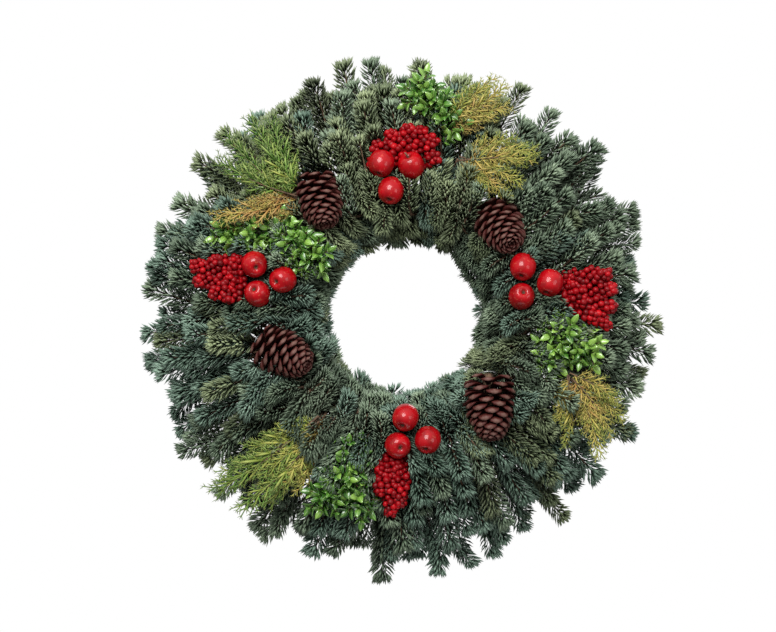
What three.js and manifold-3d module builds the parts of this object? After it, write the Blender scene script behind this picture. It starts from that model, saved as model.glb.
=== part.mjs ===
// A fruit wreath: twelve bunches of fir bound with wire onto a welded ring frame, dressed with four
// picks of red apples and pepperberries, four wired pine cones, five cedar sprays and four boxwood
// sprigs.
//
// Millimetres, +Z up. The wreath hangs in the XZ plane and faces -Y. The door or wall is the plane
// Y = 0. The origin is where a nail or hook bears, at the top of the hanging loop's eye. Places on
// the wreath are given round the ring's own axis, in clock degrees: 0 is the top and 90 is the
// right-hand side as seen from the front. A depth is the distance in front of the door.
import * as THREE from "three";
import { mergeVertices } from "three/addons/utils/BufferGeometryUtils.js";
import Module from "manifold-3d";

const wasm = await Module();
wasm.setup();

// ---- Driving dimensions ----
const OUTER_RADIUS = 300; // to the usual fir tip, so that the wreath is about 610 across its longest tips
const HOLE_RADIUS = 78; // to the usual tip of the short fir that edges the hole
const FRONT_DEPTH = 84; // of the greenery's front, which the fruit and cones nestle into
const GAP = 0.4; // between any two pieces that touch

const FRAME = {
  rails: [
    { radius: 150, depth: 27 },
    { radius: 133, depth: 4.2 },
    { radius: 116, depth: 4.2 },
    { radius: 99, depth: 27 },
  ],
  wire: 1.8, // radius of the rail wire
  strutWire: 1.5,
  struts: 8,
  sides: 6,
  steps: 30,
};
const TROUGH = { radius: 124.5, depth: 22.5 }; // the middle of the trough that the four rails make
const LOOP = { eye: 8, wire: 1 }; // inside radius of the eye, radius of its wire
// One turn of the binding wire as [radius, depth]: down the outside, behind the back rails, up the
// inside, and over the stems.
const BINDING = {
  wire: 0.7,
  sides: 4,
  turn: [
    [153.6, 29],
    [152.9, 24.6],
    [135.8, 1.4],
    [124.5, 0.9],
    [113.2, 1.4],
    [96.1, 24.6],
    [95.4, 29],
    [101, 35],
    [112, 40],
    [124.5, 42],
    [137, 40],
    [148, 35],
  ],
};
// The section of the room that the frame, the wire and the stems fill, as [radius, depth].
const TROUGH_ROOM = [
  [157, -20],
  [157, 32],
  [151, 38],
  [138, 44],
  [124.5, 46],
  [111, 44],
  [98, 38],
  [92, 32],
  [92, -20],
];

const BUNCHES = 12;
const BUNCH_ARC = 360 / BUNCHES;
const STEM_BUNDLE = { radius: 11, length: 50, neck: 6, neckTurn: -7.5 };
const OUTER_TIPS = [
  { turn: -11, depth: 34, reach: -6 },
  { turn: -4.2, depth: 58, reach: 4 },
  { turn: 3.2, depth: 26, reach: 0 },
  { turn: 10.5, depth: 52, reach: -10 },
];
const INNER_TIPS = [
  { turn: -8, depth: 50, reach: 3 },
  { turn: 7, depth: 62, reach: -2 },
];
const TIP_WIDTH = 19; // half the width of a fir tip
const INNER_TIP_WIDTH = 13;

const APPLE_RADIUS = 15;
const APPLE_DEPTH = 99;
// Across and up are from the ring's axis. Berries are the lumps of a pepperberry spray, each with
// its own radius.
const FRUIT_PICKS = [
  {
    name: "top",
    foot: 1,
    apples: [
      [-24, 170],
      [10, 168],
      [-13, 140],
    ],
    berries: [
      [-12, 199, 13],
      [12, 204, 17],
      [33, 199, 15],
      [38, 181, 11],
      [-29, 191, 10],
    ],
  },
  {
    name: "right",
    foot: 91,
    apples: [
      [134, 55],
      [133, 23],
      [164, 37],
    ],
    berries: [
      [187, 34, 12],
      [206, 36, 17],
      [229, 36, 15],
      [230, 12, 14],
      [226, -8, 10],
      [210, 13, 13],
    ],
  },
  {
    name: "bottom",
    foot: 181,
    apples: [
      [3, -113],
      [-5, -144],
      [28, -138],
    ],
    berries: [
      [-22, -165, 14],
      [-18, -184, 16],
      [-6, -203, 14],
      [-1, -222, 9],
    ],
  },
  {
    name: "left",
    foot: 301,
    apples: [
      [-165, 58],
      [-162, 26],
      [-134, 41],
    ],
    berries: [
      [-190, 58, 14],
      [-208, 48, 16],
      [-224, 57, 12],
      [-192, 28, 13],
      [-213, 28, 12],
      [-232, 42, 10],
    ],
  },
];

const CONE = { radius: 30, length: 78, tiers: 7, sides: 10 };
// Middle of each cone, and the way its tip points: across, towards the door, up.
const CONES = [
  { name: "upper_left", foot: 331, at: [-88, 125], depth: 92, tip: [0.2, -0.5, -0.84] },
  { name: "upper_right", foot: 61, at: [116, 93], depth: 90, tip: [0.3, -0.72, -0.6] },
  { name: "lower_right", foot: 151, at: [99, -102], depth: 92, tip: [0.05, -0.3, -1] },
  { name: "lower_left", foot: 241, at: [-128, -47], depth: 92, tip: [0.85, -0.42, -0.4] },
];
const CONE_WIRE = 0.9;
const PICK_WIRE = 1.3;

// Each spray fans out from its base: [across, up] of the base, then of each plume's tip.
const CEDAR_SPRAYS = [
  { name: "top", base: [62, 214], tips: [[88, 262], [112, 268], [124, 236]], width: 12 },
  { name: "upper_right", base: [66, 166], tips: [[156, 188], [148, 160], [112, 128]], width: 12 },
  { name: "lower_right", base: [186, -66], tips: [[238, -104], [222, -152], [184, -138]], width: 15 },
  { name: "lower_left", base: [-94, -118], tips: [[-214, -196], [-176, -212], [-118, -206]], width: 14 },
  { name: "upper_left", base: [-116, 132], tips: [[-206, 124], [-190, 210], [-142, 226]], width: 14 },
];
const BOXWOOD_SPRIGS = [
  { name: "top", clumps: [[40, 236], [22, 250], [48, 218]] },
  { name: "right", clumps: [[180, -18], [204, -36], [168, -44]] },
  { name: "lower_left", clumps: [[-64, -180], [-84, -200], [-46, -204], [-60, -152]] },
  { name: "left", clumps: [[-114, 84], [-98, 66], [-136, 96], [-166, 92], [-194, 94]] },
];
const CLUMP_RADIUS = 19;

const COLOURS = {
  galvanised: { color: 0x8a8f8c, roughness: 0.42, metalness: 0.9 },
  greenWire: { color: 0x2f4a2c, roughness: 0.5, metalness: 0.3 },
  fir: { color: 0x4f6b58, roughness: 0.7, metalness: 0 },
  cedar: { color: 0xa39a4c, roughness: 0.75, metalness: 0 },
  boxwood: { color: 0x4f9236, roughness: 0.35, metalness: 0 },
  apple: { color: 0xb3101c, roughness: 0.18, metalness: 0 },
  berry: { color: 0xa30f16, roughness: 0.5, metalness: 0 },
  cone: { color: 0x4a2a22, roughness: 0.8, metalness: 0 },
};

const DEG = Math.PI / 180;
const UP = new THREE.Vector3(0, 1, 0);

// ---- Shape helpers ----

/** A point of the wreath, from the ring's axis. */
function at(clock, radius, depth) {
  return new THREE.Vector3(radius * Math.sin(clock * DEG), -depth, radius * Math.cos(clock * DEG));
}

/** A closed three.js geometry as a manifold-3d solid, turned the right way out. */
function solidOf(geometry) {
  const bare = geometry.index ? geometry.toNonIndexed() : geometry.clone();
  const places = new THREE.BufferGeometry().setAttribute("position", bare.getAttribute("position"));
  const merged = mergeVertices(places, 1e-3);
  const triVerts = new Uint32Array(merged.index.array);
  const vertProperties = merged.attributes.position.array;
  const solid = new wasm.Manifold(new wasm.Mesh({ numProp: 3, vertProperties, triVerts }));
  if (solid.volume() > 0) return solid;
  for (let i = 0; i < triVerts.length; i += 3) {
    [triVerts[i + 1], triVerts[i + 2]] = [triVerts[i + 2], triVerts[i + 1]];
  }
  return new wasm.Manifold(new wasm.Mesh({ numProp: 3, vertProperties, triVerts }));
}

/** A manifold-3d solid as a flat-shaded three.js geometry. */
function geometryOf(solid) {
  const { numProp, numVert, vertProperties, triVerts } = solid.getMesh();
  const places = new Float32Array(numVert * 3);
  for (let i = 0; i < numVert; i++) {
    places.set(vertProperties.subarray(i * numProp, i * numProp + 3), i * 3);
  }
  const geometry = new THREE.BufferGeometry();
  geometry.setAttribute("position", new THREE.BufferAttribute(places, 3));
  geometry.setIndex(new THREE.BufferAttribute(new Uint32Array(triVerts), 1));
  const flat = geometry.toNonIndexed();
  flat.computeVertexNormals();
  return flat;
}

/** All of these solids joined in one. */
function joined(solids) {
  return solids.reduce((sum, next) => sum.add(next));
}

/** A matrix that stands a +Y shape on a point and turns it to a direction. */
function standing(from, direction) {
  const turn = new THREE.Quaternion().setFromUnitVectors(UP, direction.clone().normalize());
  return new THREE.Matrix4().compose(from, turn, new THREE.Vector3(1, 1, 1));
}

/** A round bar from one point to another. */
function bar(from, to, radius, sides = 6) {
  const along = to.clone().sub(from);
  const shape = new THREE.CylinderGeometry(radius, radius, along.length(), sides);
  shape.translate(0, along.length() / 2, 0);
  return solidOf(shape.applyMatrix4(standing(from, along)));
}

/** A leafy finger from one point to another, widest past its middle and flattened towards the door. */
function finger(from, to, width, flatten = 0.72) {
  const along = to.clone().sub(from);
  const length = along.length();
  const profile = [
    [0, 0],
    [0.72, 0.04],
    [1, 0.45],
    [0.86, 0.82],
    [0, 1],
  ].map(([across, up]) => new THREE.Vector2(across * width, up * length));
  const shape = new THREE.LatheGeometry(profile, 5, Math.PI / 5);
  const y = along.clone().normalize();
  const z = new THREE.Vector3(0, -1, 0).addScaledVector(y, y.y).normalize();
  const x = new THREE.Vector3().crossVectors(y, z);
  const turn = new THREE.Matrix4().makeBasis(x, y, z.multiplyScalar(flatten)).setPosition(from);
  return solidOf(shape.applyMatrix4(turn));
}

/** A sphere-like lump with its own size on each axis. */
function lump(middle, across, deep, up, columns = 8, rows = 6) {
  const shape = new THREE.SphereGeometry(1, columns, rows);
  shape.scale(across, deep, up);
  return solidOf(shape.translate(middle.x, middle.y, middle.z));
}

/** A ring round the wreath's axis, with a section of points given as [radius, depth]. */
function ring(section, steps) {
  const profile = [...section, section[0]].map(([radius, depth]) => new THREE.Vector2(radius, -depth));
  return solidOf(new THREE.LatheGeometry(profile, steps));
}

/** A regular section round [radius, depth], with a flat side towards the door. */
function roundSection(radius, depth, across, deep, sides) {
  const points = [];
  for (let i = 0; i < sides; i++) {
    const angle = ((i + 0.5) / sides) * 2 * Math.PI + Math.PI / 2;
    points.push([radius + across * Math.cos(angle), depth + deep * Math.sin(angle)]);
  }
  return points;
}

// ---- Frame, hanging loop and binding wire ----

/** Four rails and the bent struts that they are welded to. */
function wireFrame() {
  const { rails, wire, strutWire, struts, sides, steps } = FRAME;
  const across = wire / Math.cos(Math.PI / sides);
  const pieces = rails.map((rail) =>
    ring(roundSection(rail.radius, rail.depth, across, across, sides), steps),
  );
  for (let i = 0; i < struts; i++) {
    const clock = ((i + 0.5) / struts) * 360;
    for (let j = 1; j < rails.length; j++) {
      const ends = [rails[j - 1], rails[j]].map((rail) => at(clock, rail.radius, rail.depth));
      pieces.push(bar(ends[0], ends[1], strutWire));
    }
  }
  return joined(pieces);
}

const BACK_RAIL = FRAME.rails[1];
// The radius of the turn round the rail.
const COLLAR_RADIUS = FRAME.wire / Math.cos(Math.PI / FRAME.sides) + GAP + LOOP.wire;
const EYE_RADIUS = LOOP.eye + LOOP.wire;
const EYE_MIDDLE = BACK_RAIL.radius + COLLAR_RADIUS + EYE_RADIUS;
const ORIGIN_HEIGHT = EYE_MIDDLE + LOOP.eye; // of the hook's bearing point above the ring's axis

/** The loop: one turn of wire round the back rail, and the eye that stands up from it. */
function hangingLoop() {
  const eye = new THREE.TorusGeometry(EYE_RADIUS, LOOP.wire, 6, 20);
  eye.rotateX(Math.PI / 2).translate(0, -BACK_RAIL.depth, EYE_MIDDLE);
  const collar = new THREE.TorusGeometry(COLLAR_RADIUS, LOOP.wire, 6, 12);
  collar.rotateY(Math.PI / 2).translate(0, -BACK_RAIL.depth, BACK_RAIL.radius);
  return joined([solidOf(eye), solidOf(collar)]);
}

/** The green wire that winds once round the frame for each bunch. */
function bindingWire() {
  const { wire, sides, turn } = BINDING;
  const points = [];
  const count = BUNCHES * turn.length;
  for (let i = 0; i < count; i++) {
    const [radius, depth] = turn[i % turn.length];
    points.push(at((i / count) * 360, radius, depth));
  }
  const route = new THREE.CatmullRomCurve3(points, false, "centripetal");
  route.getPointAt = route.getPoint;
  const section = new THREE.Shape();
  for (let i = 0; i < sides; i++) {
    const angle = (i / sides) * 2 * Math.PI;
    const corner = [wire * Math.cos(angle), wire * Math.sin(angle)];
    if (i === 0) section.moveTo(...corner);
    else section.lineTo(...corner);
  }
  section.closePath();
  const shape = new THREE.ExtrudeGeometry(section, {
    steps: count - 1,
    extrudePath: route,
    curveSegments: 1,
  });
  return solidOf(shape);
}

// ---- Fruit, cones and the wires that hold them ----

/** A small apple with a hollow at each end; grow makes it larger all round. */
function apple(middle, grow = 0) {
  const radius = APPLE_RADIUS + grow;
  const profile = [
    [0, 0.78],
    [0.3, 0.94],
    [0.72, 0.78],
    [1, 0.12],
    [0.84, -0.6],
    [0.38, -0.94],
    [0, -0.84],
  ].map(([across, up]) => new THREE.Vector2(across * radius, up * radius));
  const shape = new THREE.LatheGeometry(profile, 9);
  return solidOf(shape.applyMatrix4(standing(middle, new THREE.Vector3(0.2, -1, 0.35))));
}

/** The radius of a cone's outline at a share of its length from the stem end. */
function coneOutline(share) {
  return CONE.radius * Math.pow(Math.sin(Math.PI * (0.16 + 0.84 * share) ** 0.72), 0.62);
}

/** A pine cone as tiers of scales, each with a lip that overhangs the next. */
function pineCone(middle, direction) {
  const { length, tiers, sides } = CONE;
  const profile = [[0, 0]];
  for (let i = 0; i < tiers; i++) {
    const share = (i + 0.35) / tiers;
    const lip = coneOutline(share);
    profile.push([lip * 0.72, (i / tiers) * length], [lip, share * length]);
  }
  profile.push([0, length]);
  const points = profile.map(([across, up]) => new THREE.Vector2(across, up));
  const base = middle.clone().addScaledVector(direction.clone().normalize(), -length / 2);
  return solidOf(new THREE.LatheGeometry(points, sides).applyMatrix4(standing(base, direction)));
}

/**
 * The plain room that a pine cone needs in the greenery: its outline, without the dips between the
 * scales.
 */
function coneRoom(middle, direction) {
  const { length, sides } = CONE;
  const margin = GAP * 3;
  const points = [new THREE.Vector2(0, -margin)];
  for (const share of [-0.01, 0.2, 0.4, 0.65, 0.9]) {
    const wide = share < 0 ? coneOutline(0.05) : coneOutline(share);
    points.push(new THREE.Vector2(wide + margin, share < 0 ? -margin : share * length));
  }
  points.push(new THREE.Vector2(0, length + margin * 2));
  const base = middle.clone().addScaledVector(direction.clone().normalize(), -length / 2);
  return solidOf(new THREE.LatheGeometry(points, sides).applyMatrix4(standing(base, direction)));
}

// ---- Greenery ----

/** A fan of flat cedar plumes that lies on the fir. */
function cedarSpray({ base, tips, width }, grow = 0) {
  const from = new THREE.Vector3(base[0], -(FRONT_DEPTH - 22), base[1]);
  const plumes = tips.map(([x, z], i) => {
    const to = new THREE.Vector3(x, -(FRONT_DEPTH + 6 + 4 * (i % 2) + grow), z);
    return finger(from, to, width + grow, 0.42 + grow / width);
  });
  return joined(plumes);
}

/** Three clumps of boxwood leaves on one twig. */
function boxwoodSprig({ clumps }, grow = 0) {
  const size = CLUMP_RADIUS + grow;
  return joined(
    clumps.map(([x, z], i) => {
      const middle = new THREE.Vector3(x, -(FRONT_DEPTH + 2 - 4 * i), z);
      return lump(middle, size, size * 0.8, size, 7, 4);
    }),
  );
}

/** A repeatable wobble from -1 to 1 that makes each bunch's tips differ. */
function wobble(bunch, tip) {
  return Math.sin(bunch * 2.4 + tip * 1.7) * 0.6 + Math.sin(bunch * 5.1 - tip * 3.3) * 0.4;
}

/** The slice of the ring that one bunch fills, with a gap to the next. */
function slice(heading) {
  const far = 420;
  const half = (BUNCH_ARC / 2) * DEG;
  const shape = new THREE.Shape([
    new THREE.Vector2(0, 0),
    new THREE.Vector2(far * Math.tan(half), far),
    new THREE.Vector2(-far * Math.tan(half), far),
  ]);
  const block = new THREE.ExtrudeGeometry(shape, { depth: 240, bevelEnabled: false });
  block.rotateX(Math.PI / 2).translate(0, 60, GAP * 2.4);
  block.rotateY(heading * DEG);
  return solidOf(block);
}

/**
 * One bunch: its cut stems in the trough, a neck between two turns of wire, and the fir that fans
 * out in front.
 */
function firBunch(index, trough) {
  const heading = (index + 0.5) * BUNCH_ARC;
  const lobes = [];
  OUTER_TIPS.forEach((tip, i) => {
    const reach = OUTER_RADIUS + tip.reach + 9 * wobble(index, i);
    const from = at(heading + tip.turn * 0.55, 128, 52);
    lobes.push(finger(from, at(heading + tip.turn, reach, tip.depth), TIP_WIDTH));
  });
  INNER_TIPS.forEach((tip, i) => {
    const reach = HOLE_RADIUS + tip.reach + 5 * wobble(index + 3, i);
    lobes.push(
      finger(
        at(heading + tip.turn * 0.9, 172, 58),
        at(heading + tip.turn, reach, tip.depth),
        INNER_TIP_WIDTH,
      ),
    );
  });
  const pad = new THREE.SphereGeometry(1, 8, 7);
  pad.scale(62, 33, 86).translate(0, -(FRONT_DEPTH - 34), 186).rotateY(heading * DEG);
  lobes.push(solidOf(pad));
  const leaves = joined(lobes).subtract(trough);

  const tangent = new THREE.Vector3(Math.cos(heading * DEG), 0, -Math.sin(heading * DEG));
  const middle = at(heading, TROUGH.radius, TROUGH.depth);
  const half = STEM_BUNDLE.length / 2;
  const stems = bar(
    middle.clone().addScaledVector(tangent, -half),
    middle.clone().addScaledVector(tangent, half),
    STEM_BUNDLE.radius,
    8,
  );
  const neckClock = heading + STEM_BUNDLE.neckTurn;
  const neck = bar(at(neckClock, 126, TROUGH.depth), at(neckClock, 140, 66), STEM_BUNDLE.neck);
  return joined([leaves.intersect(slice(heading)), stems, neck]);
}

// ---- The wreath ----

const wreath = new THREE.Group();
wreath.name = "fruit_wreath";
const ringGroup = new THREE.Group();
ringGroup.position.z = -ORIGIN_HEIGHT;
wreath.add(ringGroup);

const rooms = []; // what later pieces have to stay clear of

/** The largest body of a solid, without the crumbs that a cut can leave. */
function largest(solid) {
  return solid.decompose().reduce((best, next) => (next.volume() > best.volume() ? next : best));
}

/** Cuts a solid clear of the pieces placed before it and adds it to the wreath as a named mesh. */
function place(name, solid, finish, room = null) {
  let clear = solid;
  for (const taken of rooms) clear = clear.subtract(taken);
  if (room) rooms.push(room);
  const mesh = new THREE.Mesh(geometryOf(largest(clear)), new THREE.MeshStandardMaterial(COLOURS[finish]));
  mesh.name = name;
  ringGroup.add(mesh);
}

place("wire_frame", wireFrame(), "galvanised");
place("hanging_loop", hangingLoop(), "galvanised");
place("binding_wire", bindingWire(), "greenWire");

for (const pick of FRUIT_PICKS) {
  pick.apples.forEach(([x, z], i) => {
    const middle = new THREE.Vector3(x, -(APPLE_DEPTH - 3 * (i % 2)), z);
    place(`red_apple_${pick.name}_${i + 1}`, apple(middle), "apple", apple(middle, GAP));
  });
}
for (const { name, at: [x, z], depth, tip } of CONES) {
  const middle = new THREE.Vector3(x, -depth, z);
  const direction = new THREE.Vector3(...tip);
  place(`pine_cone_${name}`, pineCone(middle, direction), "cone", coneRoom(middle, direction));
}
for (const { name, berries } of FRUIT_PICKS) {
  const spray = (grow) =>
    joined(
      berries.map(([x, z, radius], i) => {
        const middle = new THREE.Vector3(x, -(FRONT_DEPTH + 6 + 3 * (i % 2)), z);
        return lump(middle, radius + grow, radius * 0.85 + grow, radius + grow, 7, 4);
      }),
    );
  place(`pepperberry_spray_${name}`, spray(0), "berry", spray(GAP));
}
for (const { name, foot, apples } of FRUIT_PICKS) {
  const x = (apples[0][0] + apples[1][0] + apples[2][0]) / 3;
  const z = (apples[0][1] + apples[1][1] + apples[2][1]) / 3;
  const head = new THREE.Vector3(x, -(APPLE_DEPTH - 6), z);
  const end = at(foot, TROUGH.radius, TROUGH.depth + 3);
  place(`fruit_pick_wire_${name}`, bar(end, head, PICK_WIRE), "greenWire", bar(end, head, PICK_WIRE + GAP));
}
for (const { name, foot, at: [x, z], depth, tip } of CONES) {
  const direction = new THREE.Vector3(...tip).normalize();
  const head = new THREE.Vector3(x, -depth, z).addScaledVector(direction, -CONE.length / 2 - CONE_WIRE);
  const end = at(foot, TROUGH.radius, TROUGH.depth + 3);
  place(`cone_wire_${name}`, bar(end, head, CONE_WIRE), "galvanised", bar(end, head, CONE_WIRE + GAP));
}
for (const sprig of BOXWOOD_SPRIGS) {
  place(`boxwood_sprig_${sprig.name}`, boxwoodSprig(sprig), "boxwood", boxwoodSprig(sprig, GAP));
}
for (const spray of CEDAR_SPRAYS) {
  place(`cedar_spray_${spray.name}`, cedarSpray(spray), "cedar", cedarSpray(spray, GAP));
}
const trough = ring(TROUGH_ROOM, 24);
for (let i = 0; i < BUNCHES; i++) {
  place(`fir_bunch_${String(i + 1).padStart(2, "0")}`, firBunch(i, trough), "fir");
}

export default wreath;
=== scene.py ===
"""A hanging fruit wreath: fir, cedar and boxwood on a wire ring, with apples, berries and pine cones.

Metres, +Z up. The wreath hangs in the XZ plane, faces -Y, and its origin is the top of the hanging
loop's eye. Places on it are given in millimetres from the ring's own axis: clock degrees (0 at the
top, 90 at the right), a radius and a depth, which is the distance in front of the door. Lengths in
the dataclasses are millimetres where their name ends in _mm.
"""

import logging
import math
from collections.abc import Callable, Sequence
from dataclasses import dataclass, field, replace
from enum import Enum
from typing import ClassVar

import bpy
import numpy as np
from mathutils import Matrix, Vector


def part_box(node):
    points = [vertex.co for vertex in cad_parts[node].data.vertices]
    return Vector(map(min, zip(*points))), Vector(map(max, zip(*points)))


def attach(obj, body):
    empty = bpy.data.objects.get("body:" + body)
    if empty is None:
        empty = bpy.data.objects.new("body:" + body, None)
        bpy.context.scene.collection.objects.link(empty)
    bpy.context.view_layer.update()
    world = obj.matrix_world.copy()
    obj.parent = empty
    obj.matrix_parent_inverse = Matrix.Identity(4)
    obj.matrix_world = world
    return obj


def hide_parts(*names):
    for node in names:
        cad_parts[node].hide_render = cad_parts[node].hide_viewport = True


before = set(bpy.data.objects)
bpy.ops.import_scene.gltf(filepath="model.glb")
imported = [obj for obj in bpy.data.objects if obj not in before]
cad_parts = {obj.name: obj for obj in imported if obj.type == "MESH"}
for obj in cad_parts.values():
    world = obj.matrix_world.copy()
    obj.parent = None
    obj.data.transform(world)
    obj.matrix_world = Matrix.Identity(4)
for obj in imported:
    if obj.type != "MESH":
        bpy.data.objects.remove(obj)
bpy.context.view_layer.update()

MM = 0.001
GOLDEN_ANGLE = math.radians(137.508)

Triple = Sequence[float]
Array = np.ndarray
Socket = bpy.types.NodeSocket


# ---- Finishes ----


class Graph:
    """A material's node graph, with one method for each kind of node that the finishes use."""

    def __init__(self, name: str) -> None:
        """Starts an empty material.

        Args:
            name: the material's name.
        """
        self.material = bpy.data.materials.new(name)
        self.material.use_nodes = True
        self.tree = self.material.node_tree
        self.tree.nodes.clear()

    def add(self, kind: str, inputs: dict | None = None, **settings: object) -> bpy.types.Node:
        """Adds a node.

        Args:
            kind: the node's type, such as ShaderNodeTexNoise.
            inputs: a value or an output socket for each named or numbered input.
            settings: the node's own properties.

        Returns:
            The node.
        """
        node = self.tree.nodes.new(kind)
        for key, value in settings.items():
            setattr(node, key, value)
        for key, value in (inputs or {}).items():
            if isinstance(value, Socket):
                self.tree.links.new(value, node.inputs[key])
            else:
                node.inputs[key].default_value = value
        return node

    def attribute(self, name: str) -> Socket:
        """The number that the mesh holds under this name at each point."""
        return self.add("ShaderNodeAttribute", attribute_name=name).outputs["Fac"]

    def place(self) -> Socket:
        """The point's place in the wreath's own frame."""
        return self.add("ShaderNodeTexCoord").outputs["Object"]

    def noise(self, scale: float, detail: float = 2.0) -> Socket:
        """Cloudy noise from 0 to 1.

        Args:
            scale: features in a metre.
            detail: how many finer layers it has.

        Returns:
            The noise's value.
        """
        inputs = {"Vector": self.place(), "Scale": scale, "Detail": detail}
        return self.add("ShaderNodeTexNoise", inputs).outputs["Fac"]

    def ramp(self, value: Socket, stops: Sequence[tuple[float, Triple]]) -> Socket:
        """A colour for each value, blended between stops.

        Args:
            value: the number that picks the colour.
            stops: each stop's place from 0 to 1 and its linear colour.

        Returns:
            The colour.
        """
        node = self.add("ShaderNodeValToRGB", {"Fac": value})
        band = node.color_ramp.elements
        while len(band) < len(stops):
            band.new(0.5)
        for element, (position, colour) in zip(band, stops):
            element.position = position
            element.color = (*colour, 1.0)
        return node.outputs["Color"]

    def mix(
        self,
        share: Socket | float,
        first: Socket | Triple,
        second: Socket | Triple,
        blend: str = "MIX",
    ) -> Socket:
        """Mixes two colours.

        Args:
            share: how much of the second colour there is.
            first: the first colour.
            second: the second colour.
            blend: Blender's name for the way they mix.

        Returns:
            The mixed colour.
        """
        node = self.add("ShaderNodeMix", data_type="RGBA", blend_type=blend)
        for index, value in ((0, share), (6, first), (7, second)):
            if isinstance(value, Socket):
                self.tree.links.new(value, node.inputs[index])
            elif index == 0:
                node.inputs[index].default_value = value
            else:
                node.inputs[index].default_value = (*value, 1.0)
        return node.outputs[2]

    def maths(
        self,
        operation: str,
        first: Socket | float,
        second: Socket | float = 0.0,
    ) -> Socket:
        """Arithmetic on two numbers, by Blender's name for the operation."""
        return self.add("ShaderNodeMath", {0: first, 1: second}, operation=operation).outputs[0]

    def span(
        self, value: Socket, low: float, high: float, to_low: float = 0.0, to_high: float = 1.0
    ) -> Socket:
        """Maps low..high to to_low..to_high, and holds the ends.

        Args:
            value: the number to map.
            low: the value that becomes to_low.
            high: the value that becomes to_high.
            to_low: the result at low.
            to_high: the result at high.

        Returns:
            The mapped number.
        """
        inputs = {0: value, 1: low, 2: high, 3: to_low, 4: to_high}
        return self.add("ShaderNodeMapRange", inputs).outputs[0]

    def bump(self, height: Socket, strength: float, distance_mm: float) -> Socket:
        """A fine relief.

        Args:
            height: the relief's height, from 0 to 1.
            strength: how much of it shows.
            distance_mm: what a height of 1 stands for.

        Returns:
            The bent normal.
        """
        inputs = {"Height": height, "Strength": strength, "Distance": distance_mm * MM}
        return self.add("ShaderNodeBump", inputs).outputs["Normal"]

    def surface(self, colour: Socket | Triple, **sockets: object) -> bpy.types.Material:
        """Finishes the material with a principled surface.

        Args:
            colour: the base colour.
            sockets: a value or socket for each other input, with _ for each space in its name.

        Returns:
            The finished material.
        """
        base = colour if isinstance(colour, Socket) else (*colour, 1.0)
        inputs = {key.replace("_", " "): value for key, value in sockets.items()}
        shader = self.add("ShaderNodeBsdfPrincipled", {"Base Color": base, **inputs})
        self.add("ShaderNodeOutputMaterial", {"Surface": shader.outputs[0]})
        return self.material


class Finish:
    """A finish that makes its Blender material once and hands the same one out afterwards."""

    made: ClassVar[dict["Finish", bpy.types.Material]] = {}

    def material(self) -> bpy.types.Material:
        """The finish's material."""
        if self not in Finish.made:
            Finish.made[self] = self.build()
        return Finish.made[self]

    def build(self) -> bpy.types.Material:
        """Makes the material, which each finish does in its own way."""
        raise NotImplementedError


@dataclass(frozen=True)
class NeedleFinish(Finish):
    """Fir needles: darkened at the twig as painted shade, with a pale bloom on the younger ones and painted
    light on each needle's tip.
    """

    name: str
    shade: tuple[float, float, float]
    leaf: tuple[float, float, float]
    bloom: tuple[float, float, float]

    def build(self) -> bpy.types.Material:
        """Colours each needle by its own tone, darkens its root as painted shade and pales its tip as painted
        light.

        Returns:
            The material.
        """
        g = Graph(self.name)
        tone = g.attribute("tone")
        base = g.ramp(tone, [(0.0, self.shade), (0.5, self.leaf), (1.0, self.bloom)])
        # Painted shade: each needle darkens towards its root at the twig, where the needles shade one
        # another.
        root = g.span(g.attribute("along"), 0.0, 0.6, 0.25, 1.0)
        dark = g.mix(1.0, base, g.ramp(root, [(0.0, (0, 0, 0)), (1.0, (1, 1, 1))]), "MULTIPLY")
        patch = g.span(g.noise(26.0, 2.0), 0.4, 0.7, 0.0, 0.35)
        # Real pale bloom in cloudy patches, plus painted light that pales the outer part of each needle.
        bloom_and_tip_light = g.maths("ADD", patch, g.span(g.attribute("along"), 0.6, 1.0, 0.0, 0.3))
        colour = g.mix(bloom_and_tip_light, dark, self.bloom)
        return g.surface(colour, Roughness=0.5, Specular_IOR_Level=0.4)


@dataclass(frozen=True)
class BarkFinish(Finish):
    """Thin brown bark with darker streaks."""

    name: str = "twig_bark"
    dark: tuple[float, float, float] = (0.035, 0.018, 0.01)
    light: tuple[float, float, float] = (0.15, 0.085, 0.045)

    def build(self) -> bpy.types.Material:
        """Streaks the bark and gives it a fine relief.

        Returns:
            The material.
        """
        g = Graph(self.name)
        streaks = g.noise(260.0, 4.0)
        colour = g.ramp(streaks, [(0.3, self.dark), (0.7, self.light)])
        return g.surface(colour, Roughness=0.85, Normal=g.bump(streaks, 0.6, 0.6))


@dataclass(frozen=True)
class CutWoodFinish(Finish):
    """The pale wood of a cut stem."""

    name: str = "cut_wood"

    def build(self) -> bpy.types.Material:
        """Mottles the wood a little.

        Returns:
            The material.
        """
        g = Graph(self.name)
        grain = g.noise(500.0, 3.0)
        return g.surface(g.ramp(grain, [(0.3, (0.42, 0.27, 0.13)), (0.7, (0.62, 0.46, 0.26))]), Roughness=0.8)


@dataclass(frozen=True)
class CedarFinish(Finish):
    """Scaly cedar leaf that runs from fresh green, at tone 0, through yellow-green to gold."""

    name: str = "cedar_scale"

    def build(self) -> bpy.types.Material:
        """Colours by tone, with paler tips and a beaded relief.

        Returns:
            The material.
        """
        g = Graph(self.name)
        stops = [
            (0.0, (0.03, 0.1, 0.015)),
            (0.3, (0.09, 0.19, 0.025)),
            (0.55, (0.26, 0.28, 0.045)),
            (0.8, (0.38, 0.28, 0.065)),
            (1.0, (0.27, 0.13, 0.035)),
        ]
        base = g.ramp(g.attribute("tone"), stops)
        tip = g.span(g.attribute("along"), 0.2, 1.0, 0.0, 0.42)
        colour = g.mix(tip, base, (0.52, 0.5, 0.2))
        scales = g.noise(900.0, 1.0)
        return g.surface(colour, Roughness=0.6, Specular_IOR_Level=0.3, Normal=g.bump(scales, 0.5, 0.4))


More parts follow.
